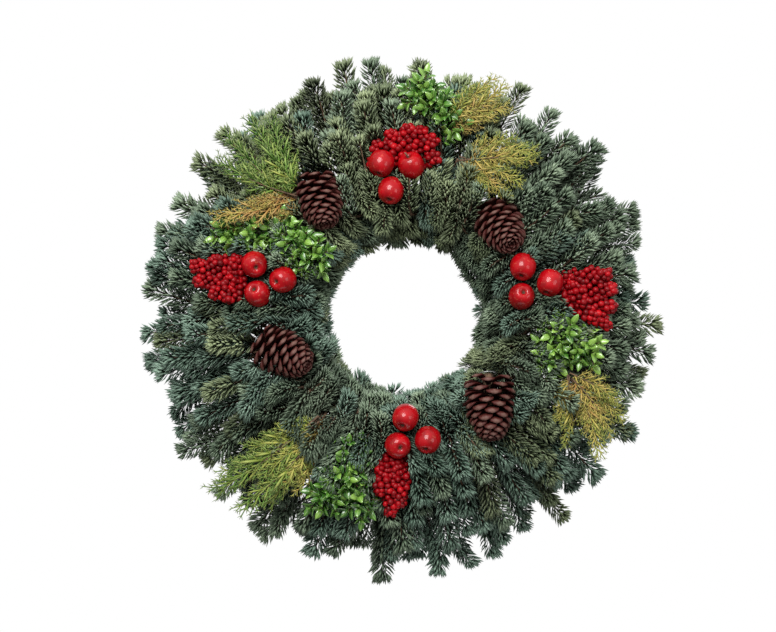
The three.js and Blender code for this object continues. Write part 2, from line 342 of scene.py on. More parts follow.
@dataclass(frozen=True)
class BoxwoodFinish(Finish):
    """Small leathery leaves, glossy on top, yellower when young."""

    name: str = "boxwood_leaf_gloss"

    def build(self) -> bpy.types.Material:
        """Colours by tone, with a paler rib down the middle.

        Returns:
            The material.
        """
        g = Graph(self.name)
        stops = [(0.0, (0.01, 0.04, 0.008)), (0.5, (0.045, 0.145, 0.014)), (1.0, (0.22, 0.38, 0.06))]
        base = g.ramp(g.attribute("tone"), stops)
        across = g.maths("ABSOLUTE", g.maths("SUBTRACT", g.attribute("across"), 0.5))
        rib = g.span(across, 0.0, 0.09, 0.55, 0.0)
        colour = g.mix(rib, base, (0.36, 0.5, 0.16))
        gloss = {"Roughness": 0.27, "Specular_IOR_Level": 0.55, "Coat_Weight": 0.25, "Coat_Roughness": 0.2}
        return g.surface(colour, **gloss)


@dataclass(frozen=True)
class AppleFinish(Finish):
    """Polished deep red skin with cloudy mottling, fine pale dots and a dark hollow at each end."""

    name: str = "apple_skin_polished"

    def build(self) -> bpy.types.Material:
        """Darkens the two hollows by the fruit's own along value, which runs from end to end.

        Returns:
            The material.
        """
        g = Graph(self.name)
        mottle = g.noise(70.0, 3.0)
        stops = [(0.25, (0.15, 0.0, 0.001)), (0.55, (0.31, 0.0, 0.003)), (0.85, (0.42, 0.0, 0.005))]
        red = g.ramp(mottle, stops)
        dots = g.span(g.noise(420.0, 0.0), 0.7, 0.76, 0.0, 0.12)
        speckled = g.mix(dots, red, (0.75, 0.25, 0.12))
        off_middle = g.maths("ABSOLUTE", g.maths("SUBTRACT", g.attribute("along"), 0.5))
        ends = g.span(off_middle, 0.41, 0.5, 0.0, 0.9)
        colour = g.mix(ends, speckled, (0.05, 0.012, 0.006))
        fine = g.bump(g.noise(230.0, 2.0), 0.1, 0.3)
        polish = {"Coat_Weight": 0.4, "Coat_Roughness": 0.12}
        return g.surface(colour, Roughness=0.45, Specular_IOR_Level=0.12, Normal=fine, **polish)


@dataclass(frozen=True)
class BerryFinish(Finish):
    """Dry red berries, from bright to deep red, with a soft shine."""

    name: str = "pepperberry_husk"

    def build(self) -> bpy.types.Material:
        """Colours each berry by its own tone and wrinkles its husk.

        Returns:
            The material.
        """
        g = Graph(self.name)
        stops = [(0.0, (0.09, 0.0, 0.001)), (0.5, (0.24, 0.0, 0.003)), (1.0, (0.42, 0.002, 0.006))]
        base = g.ramp(g.attribute("tone"), stops)
        wrinkle = g.noise(650.0, 2.0)
        colour = g.mix(g.span(wrinkle, 0.45, 0.75, 0.0, 0.4), base, (0.12, 0.0, 0.001))
        return g.surface(colour, Roughness=0.42, Specular_IOR_Level=0.2, Normal=g.bump(wrinkle, 0.35, 0.4))


@dataclass(frozen=True)
class ConeFinish(Finish):
    """Woody cone scales: near black deep inside the cone as painted shade, maroon brown outside, tan at the
    tip, where pale wear also stands in for painted highlights.
    """

    name: str = "cone_scale_wood"

    def build(self) -> bpy.types.Material:
        """Colours from the scale's root, near black there as painted shade, to its tip, with streaked grain
        and a pale tip that is partly wear and partly painted highlight.

        Returns:
            The material.
        """
        g = Graph(self.name)
        grain = g.noise(330.0, 4.0)
        along = g.maths("ADD", g.attribute("along"), g.span(grain, 0.3, 0.7, -0.06, 0.06))
        # Painted shade: near black at the scale's root, deep inside the cone, brightening to maroon brown at
        # its tip.
        stops = [(0.0, (0.012, 0.003, 0.002)), (0.6, (0.042, 0.007, 0.005)), (0.95, (0.062, 0.013, 0.01))]
        blade = g.ramp(along, stops)
        colour = g.mix(g.span(g.attribute("tone"), 0.0, 1.0, 0.0, 0.4), blade, (0.3, 0.06, 0.05), "OVERLAY")
        off = g.maths("ABSOLUTE", g.maths("SUBTRACT", g.attribute("across"), 0.5))
        # Pale tan on the middle of each scale's tip: partly real wear, partly painted highlight.
        wear_and_tip_highlight = g.maths("MULTIPLY", g.span(along, 0.88, 0.98), g.span(off, 0.1, 0.34, 1.0, 0.1))
        colour = g.mix(wear_and_tip_highlight, colour, (0.12, 0.06, 0.047))
        return g.surface(colour, Roughness=0.6, Specular_IOR_Level=0.2, Normal=g.bump(grain, 0.5, 0.5))


@dataclass(frozen=True)
class WireFinish(Finish):
    """Drawn steel wire with a coating that is dulled in patches."""

    name: str
    bright: tuple[float, float, float]
    dull: tuple[float, float, float]
    metal: float
    roughness: float

    def build(self) -> bpy.types.Material:
        """Clouds the coating.

        Returns:
            The material.
        """
        g = Graph(self.name)
        cloud = g.noise(90.0, 4.0)
        colour = g.ramp(cloud, [(0.35, self.bright), (0.65, self.dull)])
        relief = g.bump(cloud, 0.2, 0.2)
        return g.surface(colour, Metallic=self.metal, Roughness=self.roughness, Normal=relief)


class FirKind(Enum):
    """The kinds of fir that the bunches are cut from."""

    BLUE = NeedleFinish("fir_blue", (0.008, 0.018, 0.01), (0.05, 0.092, 0.062), (0.23, 0.33, 0.25))
    GREY = NeedleFinish("fir_grey", (0.008, 0.016, 0.008), (0.055, 0.088, 0.052), (0.25, 0.32, 0.21))
    OLIVE = NeedleFinish("fir_olive", (0.01, 0.016, 0.006), (0.066, 0.092, 0.043), (0.27, 0.32, 0.17))


BARK = BarkFinish()
CUT_WOOD = CutWoodFinish()
ZINC = WireFinish("zinc_wire", (0.46, 0.47, 0.46), (0.3, 0.31, 0.3), 0.9, 0.42)
GREEN_WIRE = WireFinish("green_enamel_wire", (0.03, 0.09, 0.03), (0.015, 0.05, 0.018), 0.0, 0.4)


# ---- Modelling ----


def unit(vector: Triple) -> Array:
    """The vector at a length of 1."""
    v = np.asarray(vector, float)
    return v / max(float(np.linalg.norm(v)), 1e-12)


def standing(
    start: Triple, direction: Triple, up: Triple = (0, -1, 0), size: float = 1.0, roll: float = 0.0
) -> Array:
    """A matrix that stands a +Z shape on a point.

    Args:
        start: where the shape's root goes.
        direction: which way its +Z goes.
        up: which way its +Y goes, as far as it can.
        size: how much it grows.
        roll: an extra turn about its own +Z, in radians.

    Returns:
        The 4 by 4 matrix.
    """
    z = unit(direction)
    y = np.asarray(up, float) - z * float(np.dot(up, z))
    if np.linalg.norm(y) < 1e-6:
        y = np.cross(z, (1.0, 0.0, 0.0))
    y = unit(y)
    x = np.cross(y, z)
    turned_x = x * math.cos(roll) + y * math.sin(roll)
    turned_y = y * math.cos(roll) - x * math.sin(roll)
    made = np.eye(4)
    made[:3, 0] = turned_x * size
    made[:3, 1] = turned_y * size
    made[:3, 2] = z * size
    made[:3, 3] = start
    return made


@dataclass(frozen=True)
class Room:
    """The room that a fruit, a berry cluster or a cone takes up: a rod with round ends."""

    start: Array
    end: Array
    radius_mm: float

    def holds(self, points: Array) -> Array:
        """Tells which points are deep inside it or stand in front of it.

        Args:
            points: the points to test.

        Returns:
            True or False for each point.
        """
        along = self.end - self.start
        share = np.clip((points - self.start) @ along / max(float(along @ along), 1e-12), 0, 1)
        away = points - self.start - share[:, None] * along
        radius = self.radius_mm * MM
        inside = (away**2).sum(1) < (radius * 0.5) ** 2
        before = (away[:, 0] ** 2 + away[:, 2] ** 2 < (radius * 0.9) ** 2) & (away[:, 1] < 0)
        return inside | before


@dataclass(frozen=True)
class Pattern:
    """A shape held as plain arrays, so that it is modelled once and copied many times.

    Each point carries along, which runs from 0 at the root to 1 at the tip, across, from 0 to 1 over
    its width, tone, which picks its shade, and the number of the needle, leaf or twig that it belongs
    to. Each face carries the number of its finish.
    """

    points: Array
    corners: Array
    sizes: Array
    along: Array
    across: Array
    tone: Array
    finish: Array
    member: Array

    @classmethod
    def taken_from(cls, piece: bpy.types.Object, finish: int = 0) -> "Pattern":
        """Reads a modelled piece and removes it.

        Args:
            piece: the mesh object, with its root at z 0.
            finish: the number of its finish.

        Returns:
            The pattern.
        """
        mesh = piece.data
        points = np.empty(len(mesh.vertices) * 3)
        mesh.vertices.foreach_get("co", points)
        points = points.reshape(-1, 3)
        corners = np.empty(len(mesh.loops), np.int64)
        mesh.loops.foreach_get("vertex_index", corners)
        sizes = np.empty(len(mesh.polygons), np.int64)
        mesh.polygons.foreach_get("loop_total", sizes)
        low, high = points.min(0), points.max(0)
        shares = (points - low) / np.maximum(high - low, 1e-9)
        bpy.data.objects.remove(piece)
        bpy.data.meshes.remove(mesh)
        count = len(points)
        finishes, members = np.full(len(sizes), finish), np.zeros(count, np.int64)
        return cls(points, corners, sizes, shares[:, 2], shares[:, 0], np.zeros(count), finishes, members)

    def copies(self, matrices: Sequence[Array], tones: Sequence[float] | float = 0.0) -> "Pattern":
        """One copy for each matrix.

        Args:
            matrices: where each copy goes.
            tones: what is added to each copy's tone.

        Returns:
            All the copies as one pattern.
        """
        placed = np.asarray(matrices, float).reshape(-1, 4, 4)
        count, size = len(placed), len(self.points)
        added = np.broadcast_to(np.asarray(tones, float), (count,))
        points = np.einsum("mij,nj->mni", placed[:, :3, :3], self.points) + placed[:, None, :3, 3]
        numbers = np.arange(count)[:, None]
        return Pattern(
            points.reshape(-1, 3),
            (self.corners[None] + numbers * size).ravel(),
            np.tile(self.sizes, count),
            np.tile(self.along, count),
            np.tile(self.across, count),
            (self.tone[None] + added[:, None]).ravel(),
            np.tile(self.finish, count),
            (self.member[None] + numbers * (self.member.max() + 1)).ravel(),
        )

    def moved(self, change: Callable[[Array], Array]) -> "Pattern":
        """The same shape with its points changed by a function of all of them."""
        return replace(self, points=change(self.points))

    def swapped(self, finish: int, other: int) -> "Pattern":
        """The same shape with the faces of one finish in another."""
        return replace(self, finish=np.where(self.finish == finish, other, self.finish))

    def toned(self, tone: float) -> "Pattern":
        """The same shape with one tone all over."""
        return replace(self, tone=np.full(len(self.points), tone))

    def clear_of(self, rooms: Sequence[Room]) -> "Pattern":
        """Drops each needle, leaf or twig that would run into a fruit or cone, or hide it.

        Args:
            rooms: what the fruits and cones take up.

        Returns:
            The rest.
        """
        hit = np.zeros(len(self.points), bool)
        for room in rooms:
            hit |= room.holds(self.points)
        lost = np.zeros(self.member.max() + 1, bool)
        lost[self.member[hit]] = True
        kept = ~lost[self.member]
        faces = kept[self.corners[np.cumsum(self.sizes) - self.sizes]]
        corners = self.corners[np.repeat(faces, self.sizes)]
        return Pattern(
            self.points[kept],
            (np.cumsum(kept) - 1)[corners],
            self.sizes[faces],
            self.along[kept],
            self.across[kept],
            self.tone[kept],
            self.finish[faces],
            self.member[kept],
        )

    @staticmethod
    def joined(patterns: Sequence["Pattern"]) -> "Pattern":
        """All of these patterns as one.

        Args:
            patterns: the patterns, whose points, needles and leaves are renumbered.

        Returns:
            The one pattern.
        """
        starts = np.cumsum([0] + [len(p.points) for p in patterns[:-1]])
        firsts = np.cumsum([0] + [int(p.member.max()) + 1 for p in patterns[:-1]])
        return Pattern(
            np.concatenate([p.points for p in patterns]),
            np.concatenate([p.corners + start for p, start in zip(patterns, starts)]),
            np.concatenate([p.sizes for p in patterns]),
            np.concatenate([p.along for p in patterns]),
            np.concatenate([p.across for p in patterns]),
            np.concatenate([p.tone for p in patterns]),
            np.concatenate([p.finish for p in patterns]),
            np.concatenate([p.member + first for p, first in zip(patterns, firsts)]),
        )


class Bench:
    """The modelling moves that the pieces share."""

    @staticmethod
    def clear() -> None:
        """Leaves edit mode and deselects everything."""
        if bpy.context.object is not None and bpy.context.object.mode != "OBJECT":
            bpy.ops.object.mode_set(mode="OBJECT")
        bpy.ops.object.select_all(action="DESELECT")

    @staticmethod
    def reshape(test: Callable[[Vector], bool], size: Triple = (1, 1, 1), move: Triple = (0, 0, 0)) -> None:
        """Grows some corners of the shape being edited about the origin, then moves them.

        Args:
            test: tells from a corner's place whether it is one of them.
            size: how much they grow along each axis.
            move: how far they then move.
        """
        bpy.ops.mesh.select_all(action="DESELECT")
        bpy.ops.object.mode_set(mode="OBJECT")
        for vertex in bpy.context.object.data.vertices:
            vertex.select = test(vertex.co)
        bpy.ops.object.mode_set(mode="EDIT")
        bpy.ops.transform.resize(value=size, center_override=(0, 0, 0))
        bpy.ops.transform.translate(value=move)

    @staticmethod
    def at_level(
        level: float, size: Triple, move: Triple = (0, 0, 0), off: tuple[float, float] = (0, 99)
    ) -> None:
        """Grows and moves the corners at one height of the shape being edited.

        Args:
            level: their height.
            size: how much they grow along each axis, about the origin.
            move: how far they then move.
            off: the least and the most that they may be off the middle, along X.
        """

        def meant(place: Vector) -> bool:
            """Tells whether a corner is at the height and as far off the middle."""
            return abs(place.z - level) < 0.02 and off[0] <= abs(place.x) <= off[1]

        Bench.reshape(meant, size, move)

    @staticmethod
    def sized(size: Triple) -> bpy.types.Object:
        """Brings the whole shape being edited to its real size and leaves edit mode.

        Args:
            size: how much it grows along each axis.

        Returns:
            The piece.
        """
        Bench.reshape(lambda place: True, size)
        bpy.ops.object.mode_set(mode="OBJECT")
        return bpy.context.object

    @staticmethod
    def cut_across(levels: Sequence[float]) -> None:
        """Cuts the shape being edited across, at each height, so that it can bend there.

        Args:
            levels: the heights.
        """
        for level in levels:
            bpy.ops.mesh.select_all(action="SELECT")
            bpy.ops.mesh.bisect(plane_co=(0, 0, level), plane_no=(0, 0, 1))

    @staticmethod
    def tidy() -> None:
        """Merges doubles and turns every face of the shape being edited outwards."""
        bpy.ops.mesh.select_all(action="SELECT")
        bpy.ops.mesh.remove_doubles(threshold=1e-6)
        bpy.ops.mesh.normals_make_consistent(inside=False)

    @staticmethod
    def spike(sides: int, levels: Sequence[float]) -> bpy.types.Object:
        """A pointed rod of radius 1 and height 1, cut across at the given heights.

        Args:
            sides: how many faces go round.
            levels: the heights of the cuts.

        Returns:
            The rod, with its base at the origin.
        """
        Bench.clear()
        bpy.ops.mesh.primitive_cone_add(vertices=sides, radius1=1, radius2=0, depth=1, location=(0, 0, 0.5))
        bpy.ops.object.transform_apply(location=True)
        bpy.ops.object.mode_set(mode="EDIT")
        Bench.cut_across(levels)
        bpy.ops.object.mode_set(mode="OBJECT")
        return bpy.context.object

    @staticmethod
    def rod(sides: int, levels: Sequence[float]) -> bpy.types.Object:
        """A round rod of radius 1 and height 1, cut across at the given heights.

        Args:
            sides: how many faces go round.
            levels: the heights of the cuts.

        Returns:
            The rod, with its base at the origin.
        """
        Bench.clear()
        bpy.ops.mesh.primitive_cylinder_add(vertices=sides, radius=1, depth=1, location=(0, 0, 0.5))
        bpy.ops.object.transform_apply(location=True)
        bpy.ops.object.mode_set(mode="EDIT")
        Bench.cut_across(levels)
        bpy.ops.object.mode_set(mode="OBJECT")
        return bpy.context.object

    @staticmethod
    def turned(profile: Sequence[tuple[float, float]], steps: int) -> bpy.types.Object:
        """Spins an outline about Z.

        Args:
            profile: radius and height of each corner, from the axis to the axis.
            steps: how many faces go round.

        Returns:
            The closed piece.
        """
        Bench.clear()
        bpy.ops.mesh.primitive_plane_add(size=MM)
        bpy.ops.object.mode_set(mode="EDIT")
        bpy.ops.mesh.merge(type="CENTER")
        radius, height = profile[0]
        bpy.ops.transform.translate(value=(radius, 0, height))
        for (r0, h0), (r1, h1) in zip(profile, profile[1:]):
            move = {"value": (r1 - r0, 0, h1 - h0)}
            bpy.ops.mesh.extrude_region_move(TRANSFORM_OT_translate=move)
        bpy.ops.mesh.select_all(action="SELECT")
        bpy.ops.mesh.spin(steps=steps, angle=math.tau, center=(0, 0, 0), axis=(0, 0, 1))
        Bench.tidy()
        bpy.ops.object.mode_set(mode="OBJECT")
        return bpy.context.object

    @staticmethod
    def refined(piece: bpy.types.Object, levels: int) -> bpy.types.Object:
        """Rounds a piece with an applied subdivision surface.

        Args:
            piece: the mesh object.
            levels: how often each face is divided.

        Returns:
            The same piece.
        """
        Bench.clear()
        piece.select_set(True)
        bpy.context.view_layer.objects.active = piece
        rounding = piece.modifiers.new("rounding", "SUBSURF")
        rounding.levels = rounding.render_levels = levels
        bpy.ops.object.modifier_apply(modifier=rounding.name)
        return piece

    @staticmethod
    def swept(
        routes: Sequence[Sequence[Triple]], radius_mm: float, sides: int = 8, closed: bool = False
    ) -> Pattern:
        """Round wire along smooth routes.

        Args:
            routes: the points that each length of wire follows.
            radius_mm: the wire's radius.
            sides: how many faces go round it.
            closed: whether each route joins its own start.

        Returns:
            The wires as one pattern.
        """
        Bench.clear()
        curve = bpy.data.curves.new("route", "CURVE")
        curve.dimensions = "3D"
        curve.bevel_depth = radius_mm * MM
        curve.bevel_resolution = max(0, sides // 4 - 1)
        curve.use_fill_caps = not closed
        curve.resolution_u = 1
        for route in routes:
            spline = curve.splines.new("POLY")
            spline.points.add(len(route) - 1)
            for point, place in zip(spline.points, route):
                point.co = (*place, 1.0)
            spline.use_cyclic_u = closed
        piece = bpy.data.objects.new("route", curve)
        bpy.context.scene.collection.objects.link(piece)
        piece.select_set(True)
        bpy.context.view_layer.objects.active = piece
        bpy.ops.object.convert(target="MESH")
        piece = bpy.context.object
        bpy.ops.object.mode_set(mode="EDIT")
        Bench.tidy()
        bpy.ops.object.mode_set(mode="OBJECT")
        return Pattern.taken_from(piece)


class Piece:
    """A finished piece of the wreath."""

    COLUMNS = 64

    @staticmethod
    def place(
        name: str,
        pattern: Pattern,
        finishes: Sequence[Finish],
        slot: str,
        stands_for: Sequence[str],
        by_shade: bool = False,
    ) -> bpy.types.Object:
        """slot: the name of a material slot; not used.
            stands_for: the plain solids that it takes the place of.
            by_shade: whether it is made of so many copies that they share one layout.

        Returns:
            The piece.
        """
        mesh = bpy.data.meshes.new(name)
        mesh.vertices.add(len(pattern.points))
        mesh.vertices.foreach_set("co", pattern.points.astype(np.float32).ravel())
        mesh.loops.add(len(pattern.corners))
        mesh.loops.foreach_set("vertex_index", pattern.corners.astype(np.int32))
        mesh.polygons.add(len(pattern.sizes))
        starts = np.cumsum(pattern.sizes) - pattern.sizes
        mesh.polygons.foreach_set("loop_start", starts.astype(np.int32))
        mesh.polygons.foreach_set("material_index", pattern.finish.astype(np.int32))
        mesh.update(calc_edges=True)
        tone = np.clip(pattern.tone, 0.0, 0.999)
        for key, values in (("along", pattern.along), ("across", pattern.across), ("tone", tone)):
            layer = mesh.attributes.new(key, "FLOAT", "POINT")
            layer.data.foreach_set("value", values.astype(np.float32))
        if by_shade:
            Piece.unwrap(mesh, pattern, tone, len(finishes))
        mesh.polygons.foreach_set("use_smooth", np.ones(len(pattern.sizes), bool))
        for finish in finishes:
            mesh.materials.append(finish.material())
        piece = bpy.data.objects.new(name, mesh)
        bpy.context.scene.collection.objects.link(piece)
        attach(piece, "root")
        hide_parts(*stands_for)
        triangles = int((pattern.sizes - 2).sum())
        logging.info("%s: %d triangles", name, triangles)
        return piece

    @staticmethod
    def unwrap(mesh: bpy.types.Mesh, pattern: Pattern, tone: Array, bands: int) -> None:
        """Lays the piece out by shade: copies with the same tone share a column, and each finish a band.

        Args:
            mesh: the piece's mesh.
            pattern: the shape it was made from.
            tone: each point's tone, from 0 to just under 1.
            bands: how many finishes there are.
        """
        corners = pattern.corners
        band = np.repeat(pattern.finish, pattern.sizes)
        column = np.floor(tone * Piece.COLUMNS)[corners]
        u = (column + 0.1 + 0.8 * pattern.across[corners]) / Piece.COLUMNS
        v = (band + 0.02 + 0.96 * pattern.along[corners]) / bands
        layer = mesh.uv_layers.new(name="OFBake")
        layer.data.foreach_set("uv", np.stack([u, v], 1).astype(np.float32).ravel())


# ---- The ring's own frame ----


@dataclass(frozen=True)
class Ring:
    """Where the ring's axis is, and how to find a place round it."""

    across: float
    up: float

    @classmethod
    def from_frame(cls) -> "Ring":
        """The axis of the wire frame."""
        low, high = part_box("wire_frame")
        return cls((low.x + high.x) / 2, (low.z + high.z) / 2)

    def at(self, clock: float, radius_mm: float, depth_mm: float) -> Array:
        """The point at a clock angle in degrees, a radius and a depth in front of the door.

        Args:
            clock: the clock angle, in degrees.
            radius_mm: how far it is from the axis.
            depth_mm: how far it is in front of the door.

        Returns:
            The point, in metres.
        """
        angle = math.radians(clock)
        return self.flat(radius_mm * math.sin(angle), radius_mm * math.cos(angle), depth_mm)

    def clock_of(self, point: Array) -> float:
        """The clock angle of a point, in degrees."""
        return math.degrees(math.atan2(point[0] - self.across, point[2] - self.up))

    def flat(self, across_mm: float, up_mm: float, depth_mm: float) -> Array:
        """The point so far across and up from the axis, and so far in front of the door."""
        return np.array([self.across + across_mm * MM, -depth_mm * MM, self.up + up_mm * MM])


def middle_of(node: str) -> Array:
    """The middle of a plain solid's box."""
    low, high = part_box(node)
    return np.array((low + high) / 2)


def bezier(points: Sequence[Array], share: float) -> Array:
    """A point of the curve that three control points pull.

    Args:
        points: the three control points.
        share: how far along the curve it is, from 0 to 1.

    Returns:
        The point.
    """
    a, b, c = points
    return a * (1 - share) ** 2 + b * 2 * share * (1 - share) + c * share**2


# ---- Fir ----


@dataclass(frozen=True)
class Twig:
    """Woody stems, each bent from one straight rod."""

    sides: int = 4
    levels: tuple[float, ...] = (0.25, 0.5, 0.75)

    def pattern(self) -> Pattern:
        """The straight rod, of radius 1 and length 1."""
        return Pattern.taken_from(Bench.rod(self.sides, self.levels), finish=1)

    def cut_stem(self) -> Pattern:
        """The straight rod with its two end faces in the finish of cut wood, number 3.

        Returns:
            The stem.
        """
        rod = self.pattern()
        first = np.cumsum(rod.sizes) - rod.sizes
        heights = rod.along[rod.corners]
        flat = np.minimum.reduceat(heights, first) == np.maximum.reduceat(heights, first)
        return replace(rod, finish=np.where(flat, 3, rod.finish))

    @staticmethod
    def bent(rod: Pattern, route: Sequence[Array], root_mm: float, tip_mm: float) -> Pattern:
        """Bends the rod along a curve.

        Args:
            rod: the straight rod.
            route: the three points that pull its curve.
            root_mm: its radius at the start.
            tip_mm: its radius at the end.

        Returns:
            The bent twig.
        """

        def bend(points: Array) -> Array:
            """Puts each ring of the rod square across the curve."""
            out = np.empty_like(points)
            for level in np.unique(np.round(points[:, 2], 4)):
                centre = bezier(route, level)
                ahead = bezier(route, min(1.0, level + 0.05)) - bezier(route, max(0.0, level - 0.05))
                turn = standing(centre, ahead)
                ring = np.abs(points[:, 2] - level) < 1e-3
                size = (root_mm + (tip_mm - root_mm) * level) * MM
                side, over = points[ring][:, :1] * turn[:3, 0], points[ring][:, 1:2] * turn[:3, 1]
                out[ring] = centre + (side + over) * size
            return out

        return rod.moved(bend)


@dataclass(frozen=True)
class Needle:
    """One flat, blunt fir needle that curls up a little."""

    length_mm: float = 17.0
    width_mm: float = 3.1
    thickness_mm: float = 1.3
    curl_mm: float = 3.2
    widest: float = 0.68  # how far along it is widest

    def pattern(self) -> Pattern:
        """Draws the needle out of a three-sided cone with a fan for its base, so both its ends are points.

        Returns:
            The needle, along +Z.
        """
        Bench.clear()
        bpy.ops.mesh.primitive_cone_add(vertices=3, radius1=1, radius2=0, depth=2, end_fill_type="TRIFAN")
        bpy.ops.object.mode_set(mode="EDIT")
        tip, rim = self.length_mm, self.widest * self.length_mm
        Bench.reshape(lambda place: place.z > 0, move=(0, self.curl_mm, tip - 1))
        section = (self.width_mm * 0.58, self.thickness_mm * 0.6, 1)
        bend = self.curl_mm * self.widest**2
        Bench.reshape(lambda place: place.z < 0 and place.xy.length > 0.5, section, (0, bend, rim + 1))
        Bench.reshape(lambda place: place.z < 0, move=(0, 0, 1))
        return Pattern.taken_from(Bench.sized((MM, MM, MM)))


@dataclass(frozen=True)
class FirShoot:
    """The end of a fir branch: a stem in a thick brush of needles with a rounded tip."""

    length_mm: float
    needles: int
    sway_mm: float
    seed: int
    crown: float = 0.27  # the share of its needles that fan over its tip

    def pattern(self, needle: Pattern, rod: Pattern) -> Pattern:
        """Sets the needles in a spiral that closes over the tip.

        Args:
            needle: one needle.
            rod: the straight rod that its stem is bent from.

        Returns:
            The shoot, along +Z, with its upper side to +Y.
        """
        rng = np.random.default_rng(self.seed)
        axis = np.array([0.0, 0.0, 1.0])
        matrices, tones = [], []
        for index in range(self.needles):
            share = (index + 0.5) / self.needles
            around = (index * GOLDEN_ANGLE + rng.normal(0, 0.15)) % math.tau - math.pi
            over = max(0.0, (share - 1 + self.crown) / self.crown)
            place = 0.05 + 0.93 * min(1.0, share / (1 - self.crown * 0.75)) * 0.98
            around *= 0.84 + 0.16 * over
            lean = math.radians((62 - 8 * share) * math.sqrt(max(0.0, 1 - over**1.5)) + rng.normal(0, 5))
            side = np.array([math.sin(around), math.cos(around), 0.0])
            direction = side * math.sin(lean) + axis * math.cos(lean)
            direction[1] += 0.3 * (1 - over) * (1 - math.cos(around)) / 2
            size = (1.0 - 0.16 * over) * rng.uniform(0.85, 1.1)
            root = axis * min(place, 0.985) * self.length_mm * MM + side * 0.8 * MM
            matrices.append(standing(root, direction, axis + np.array([0, 0.7, 0]), size))
            # Tone: paler towards the shoot's tip, partly young growth and partly painted shade on the shoot's
            # base; lighter on the upper side that faces the front and darker round its sides and under it, as
            # painted highlight and shade; and a random part.
            tones.append(rng.normal(0, 0.08) - 0.32 + 0.56 * share + 0.12 * math.cos(around))
        end = axis * self.length_mm * MM
        stem = Twig.bent(rod, [end * 0, end * 0.5, end], 1.7, 0.8)
        shoot = Pattern.joined([needle.copies(matrices, tones), stem.toned(0.4)])

        def sway(points: Array) -> Array:
            """Curves the shoot sideways, more towards its tip."""
            share = np.clip(points[:, 2] / (self.length_mm * MM), 0, 1.3)
            out = points.copy()
            out[:, 0] += self.sway_mm * MM * share**2
            return out

        return shoot.moved(sway)


@dataclass(frozen=True)
class Layer:
    """One row of shoots in a bunch, from the back of the wreath to its front."""

    count: int
    root: tuple[float, float]  # radius and depth where the shoots start
    tip: tuple[float, float]  # radius and depth where they end
    stagger: float = 0.0  # how far the row is moved on round the ring, in shoots
    sweep: float = 0.0  # how far round the ring each shoot leans, in degrees
    thin: bool = False  # whether its shoots may be thinner, because they are hidden at the back
    jitter_mm: float = 12.0


OUTWARD = (
    Layer(4, (128, 34), (196, 38), thin=True),
    Layer(3, (168, 24), (236, 20), 0.5, thin=True),
    Layer(5, (205, 16), (274, 14), thin=True),
    Layer(6, (216, 32), (283, 30), jitter_mm=34),
    Layer(5, (200, 48), (277, 52), 0.5, jitter_mm=26),
    Layer(5, (184, 60), (262, 70)),
    Layer(4, (166, 70), (238, 84), 0.5),
    Layer(4, (150, 77), (212, 93)),
    Layer(4, (136, 80), (186, 98), 0.5),
    Layer(3, (122, 78), (160, 98)),
    Layer(2, (122, 58), (134, 66), sweep=27),
    Layer(1, (140, 52), (146, 60), 0.3, sweep=-26),
)
INWARD = (
    Layer(3, (132, 28), (88, 24), jitter_mm=5, thin=True),
    Layer(4, (132, 46), (81, 44), 0.5, jitter_mm=5),
    Layer(4, (138, 62), (87, 68), jitter_mm=6),
    Layer(3, (146, 78), (101, 90), 0.5, jitter_mm=6),
    Layer(1, (112, 46), (108, 52), sweep=30, jitter_mm=4),
)


@dataclass(frozen=True)
class FirStock:
    """The shoots that all the bunches are made up from."""

    full: tuple[Pattern, ...]
    thin: tuple[Pattern, ...]
    rod: Pattern
    cut_stem: Pattern
    lengths: tuple[float, ...] = (43, 50, 58, 64, 70, 76)
    gap_mm: float = 12.0  # how far the needles reach past the stem's end

    @classmethod
    def cut(cls) -> "FirStock":
        """Cuts full and thin shoots of each length.

        Returns:
            The stock.
        """
        needle, rod = Needle().pattern(), Twig().pattern()
        shoots = []
        for density in (1.0, 0.55):
            row = []
            for index, length in enumerate(cls.lengths):
                count = int((74 + 1.34 * length) * density)
                sway = (5, -6, 3, -3, 6, -4)[index]
                row.append(FirShoot(length, count, sway, 11 + index).pattern(needle, rod))
            shoots.append(tuple(row))
        return cls(*shoots, rod, Twig(6).cut_stem())

    def nearest(self, length: float, thin: bool, rng: np.random.Generator) -> tuple[Pattern, float]:
        """A shoot of about the right length, and how much it has to grow to fit.

        Args:
            length: the length from its root to its outermost needles, in metres.
            thin: whether it may be a thin one.
            rng: a source of small differences.

        Returns:
            The shoot and its scale.
        """
        reaches = (np.array(self.lengths) + self.gap_mm) * MM
        pick = int(np.argmin(np.abs(reaches - length) + rng.uniform(0, 0.012, len(reaches))))
        row = self.thin if thin else self.full
        return row[pick], float(np.clip(length / reaches[pick], 0.85, 1.18))


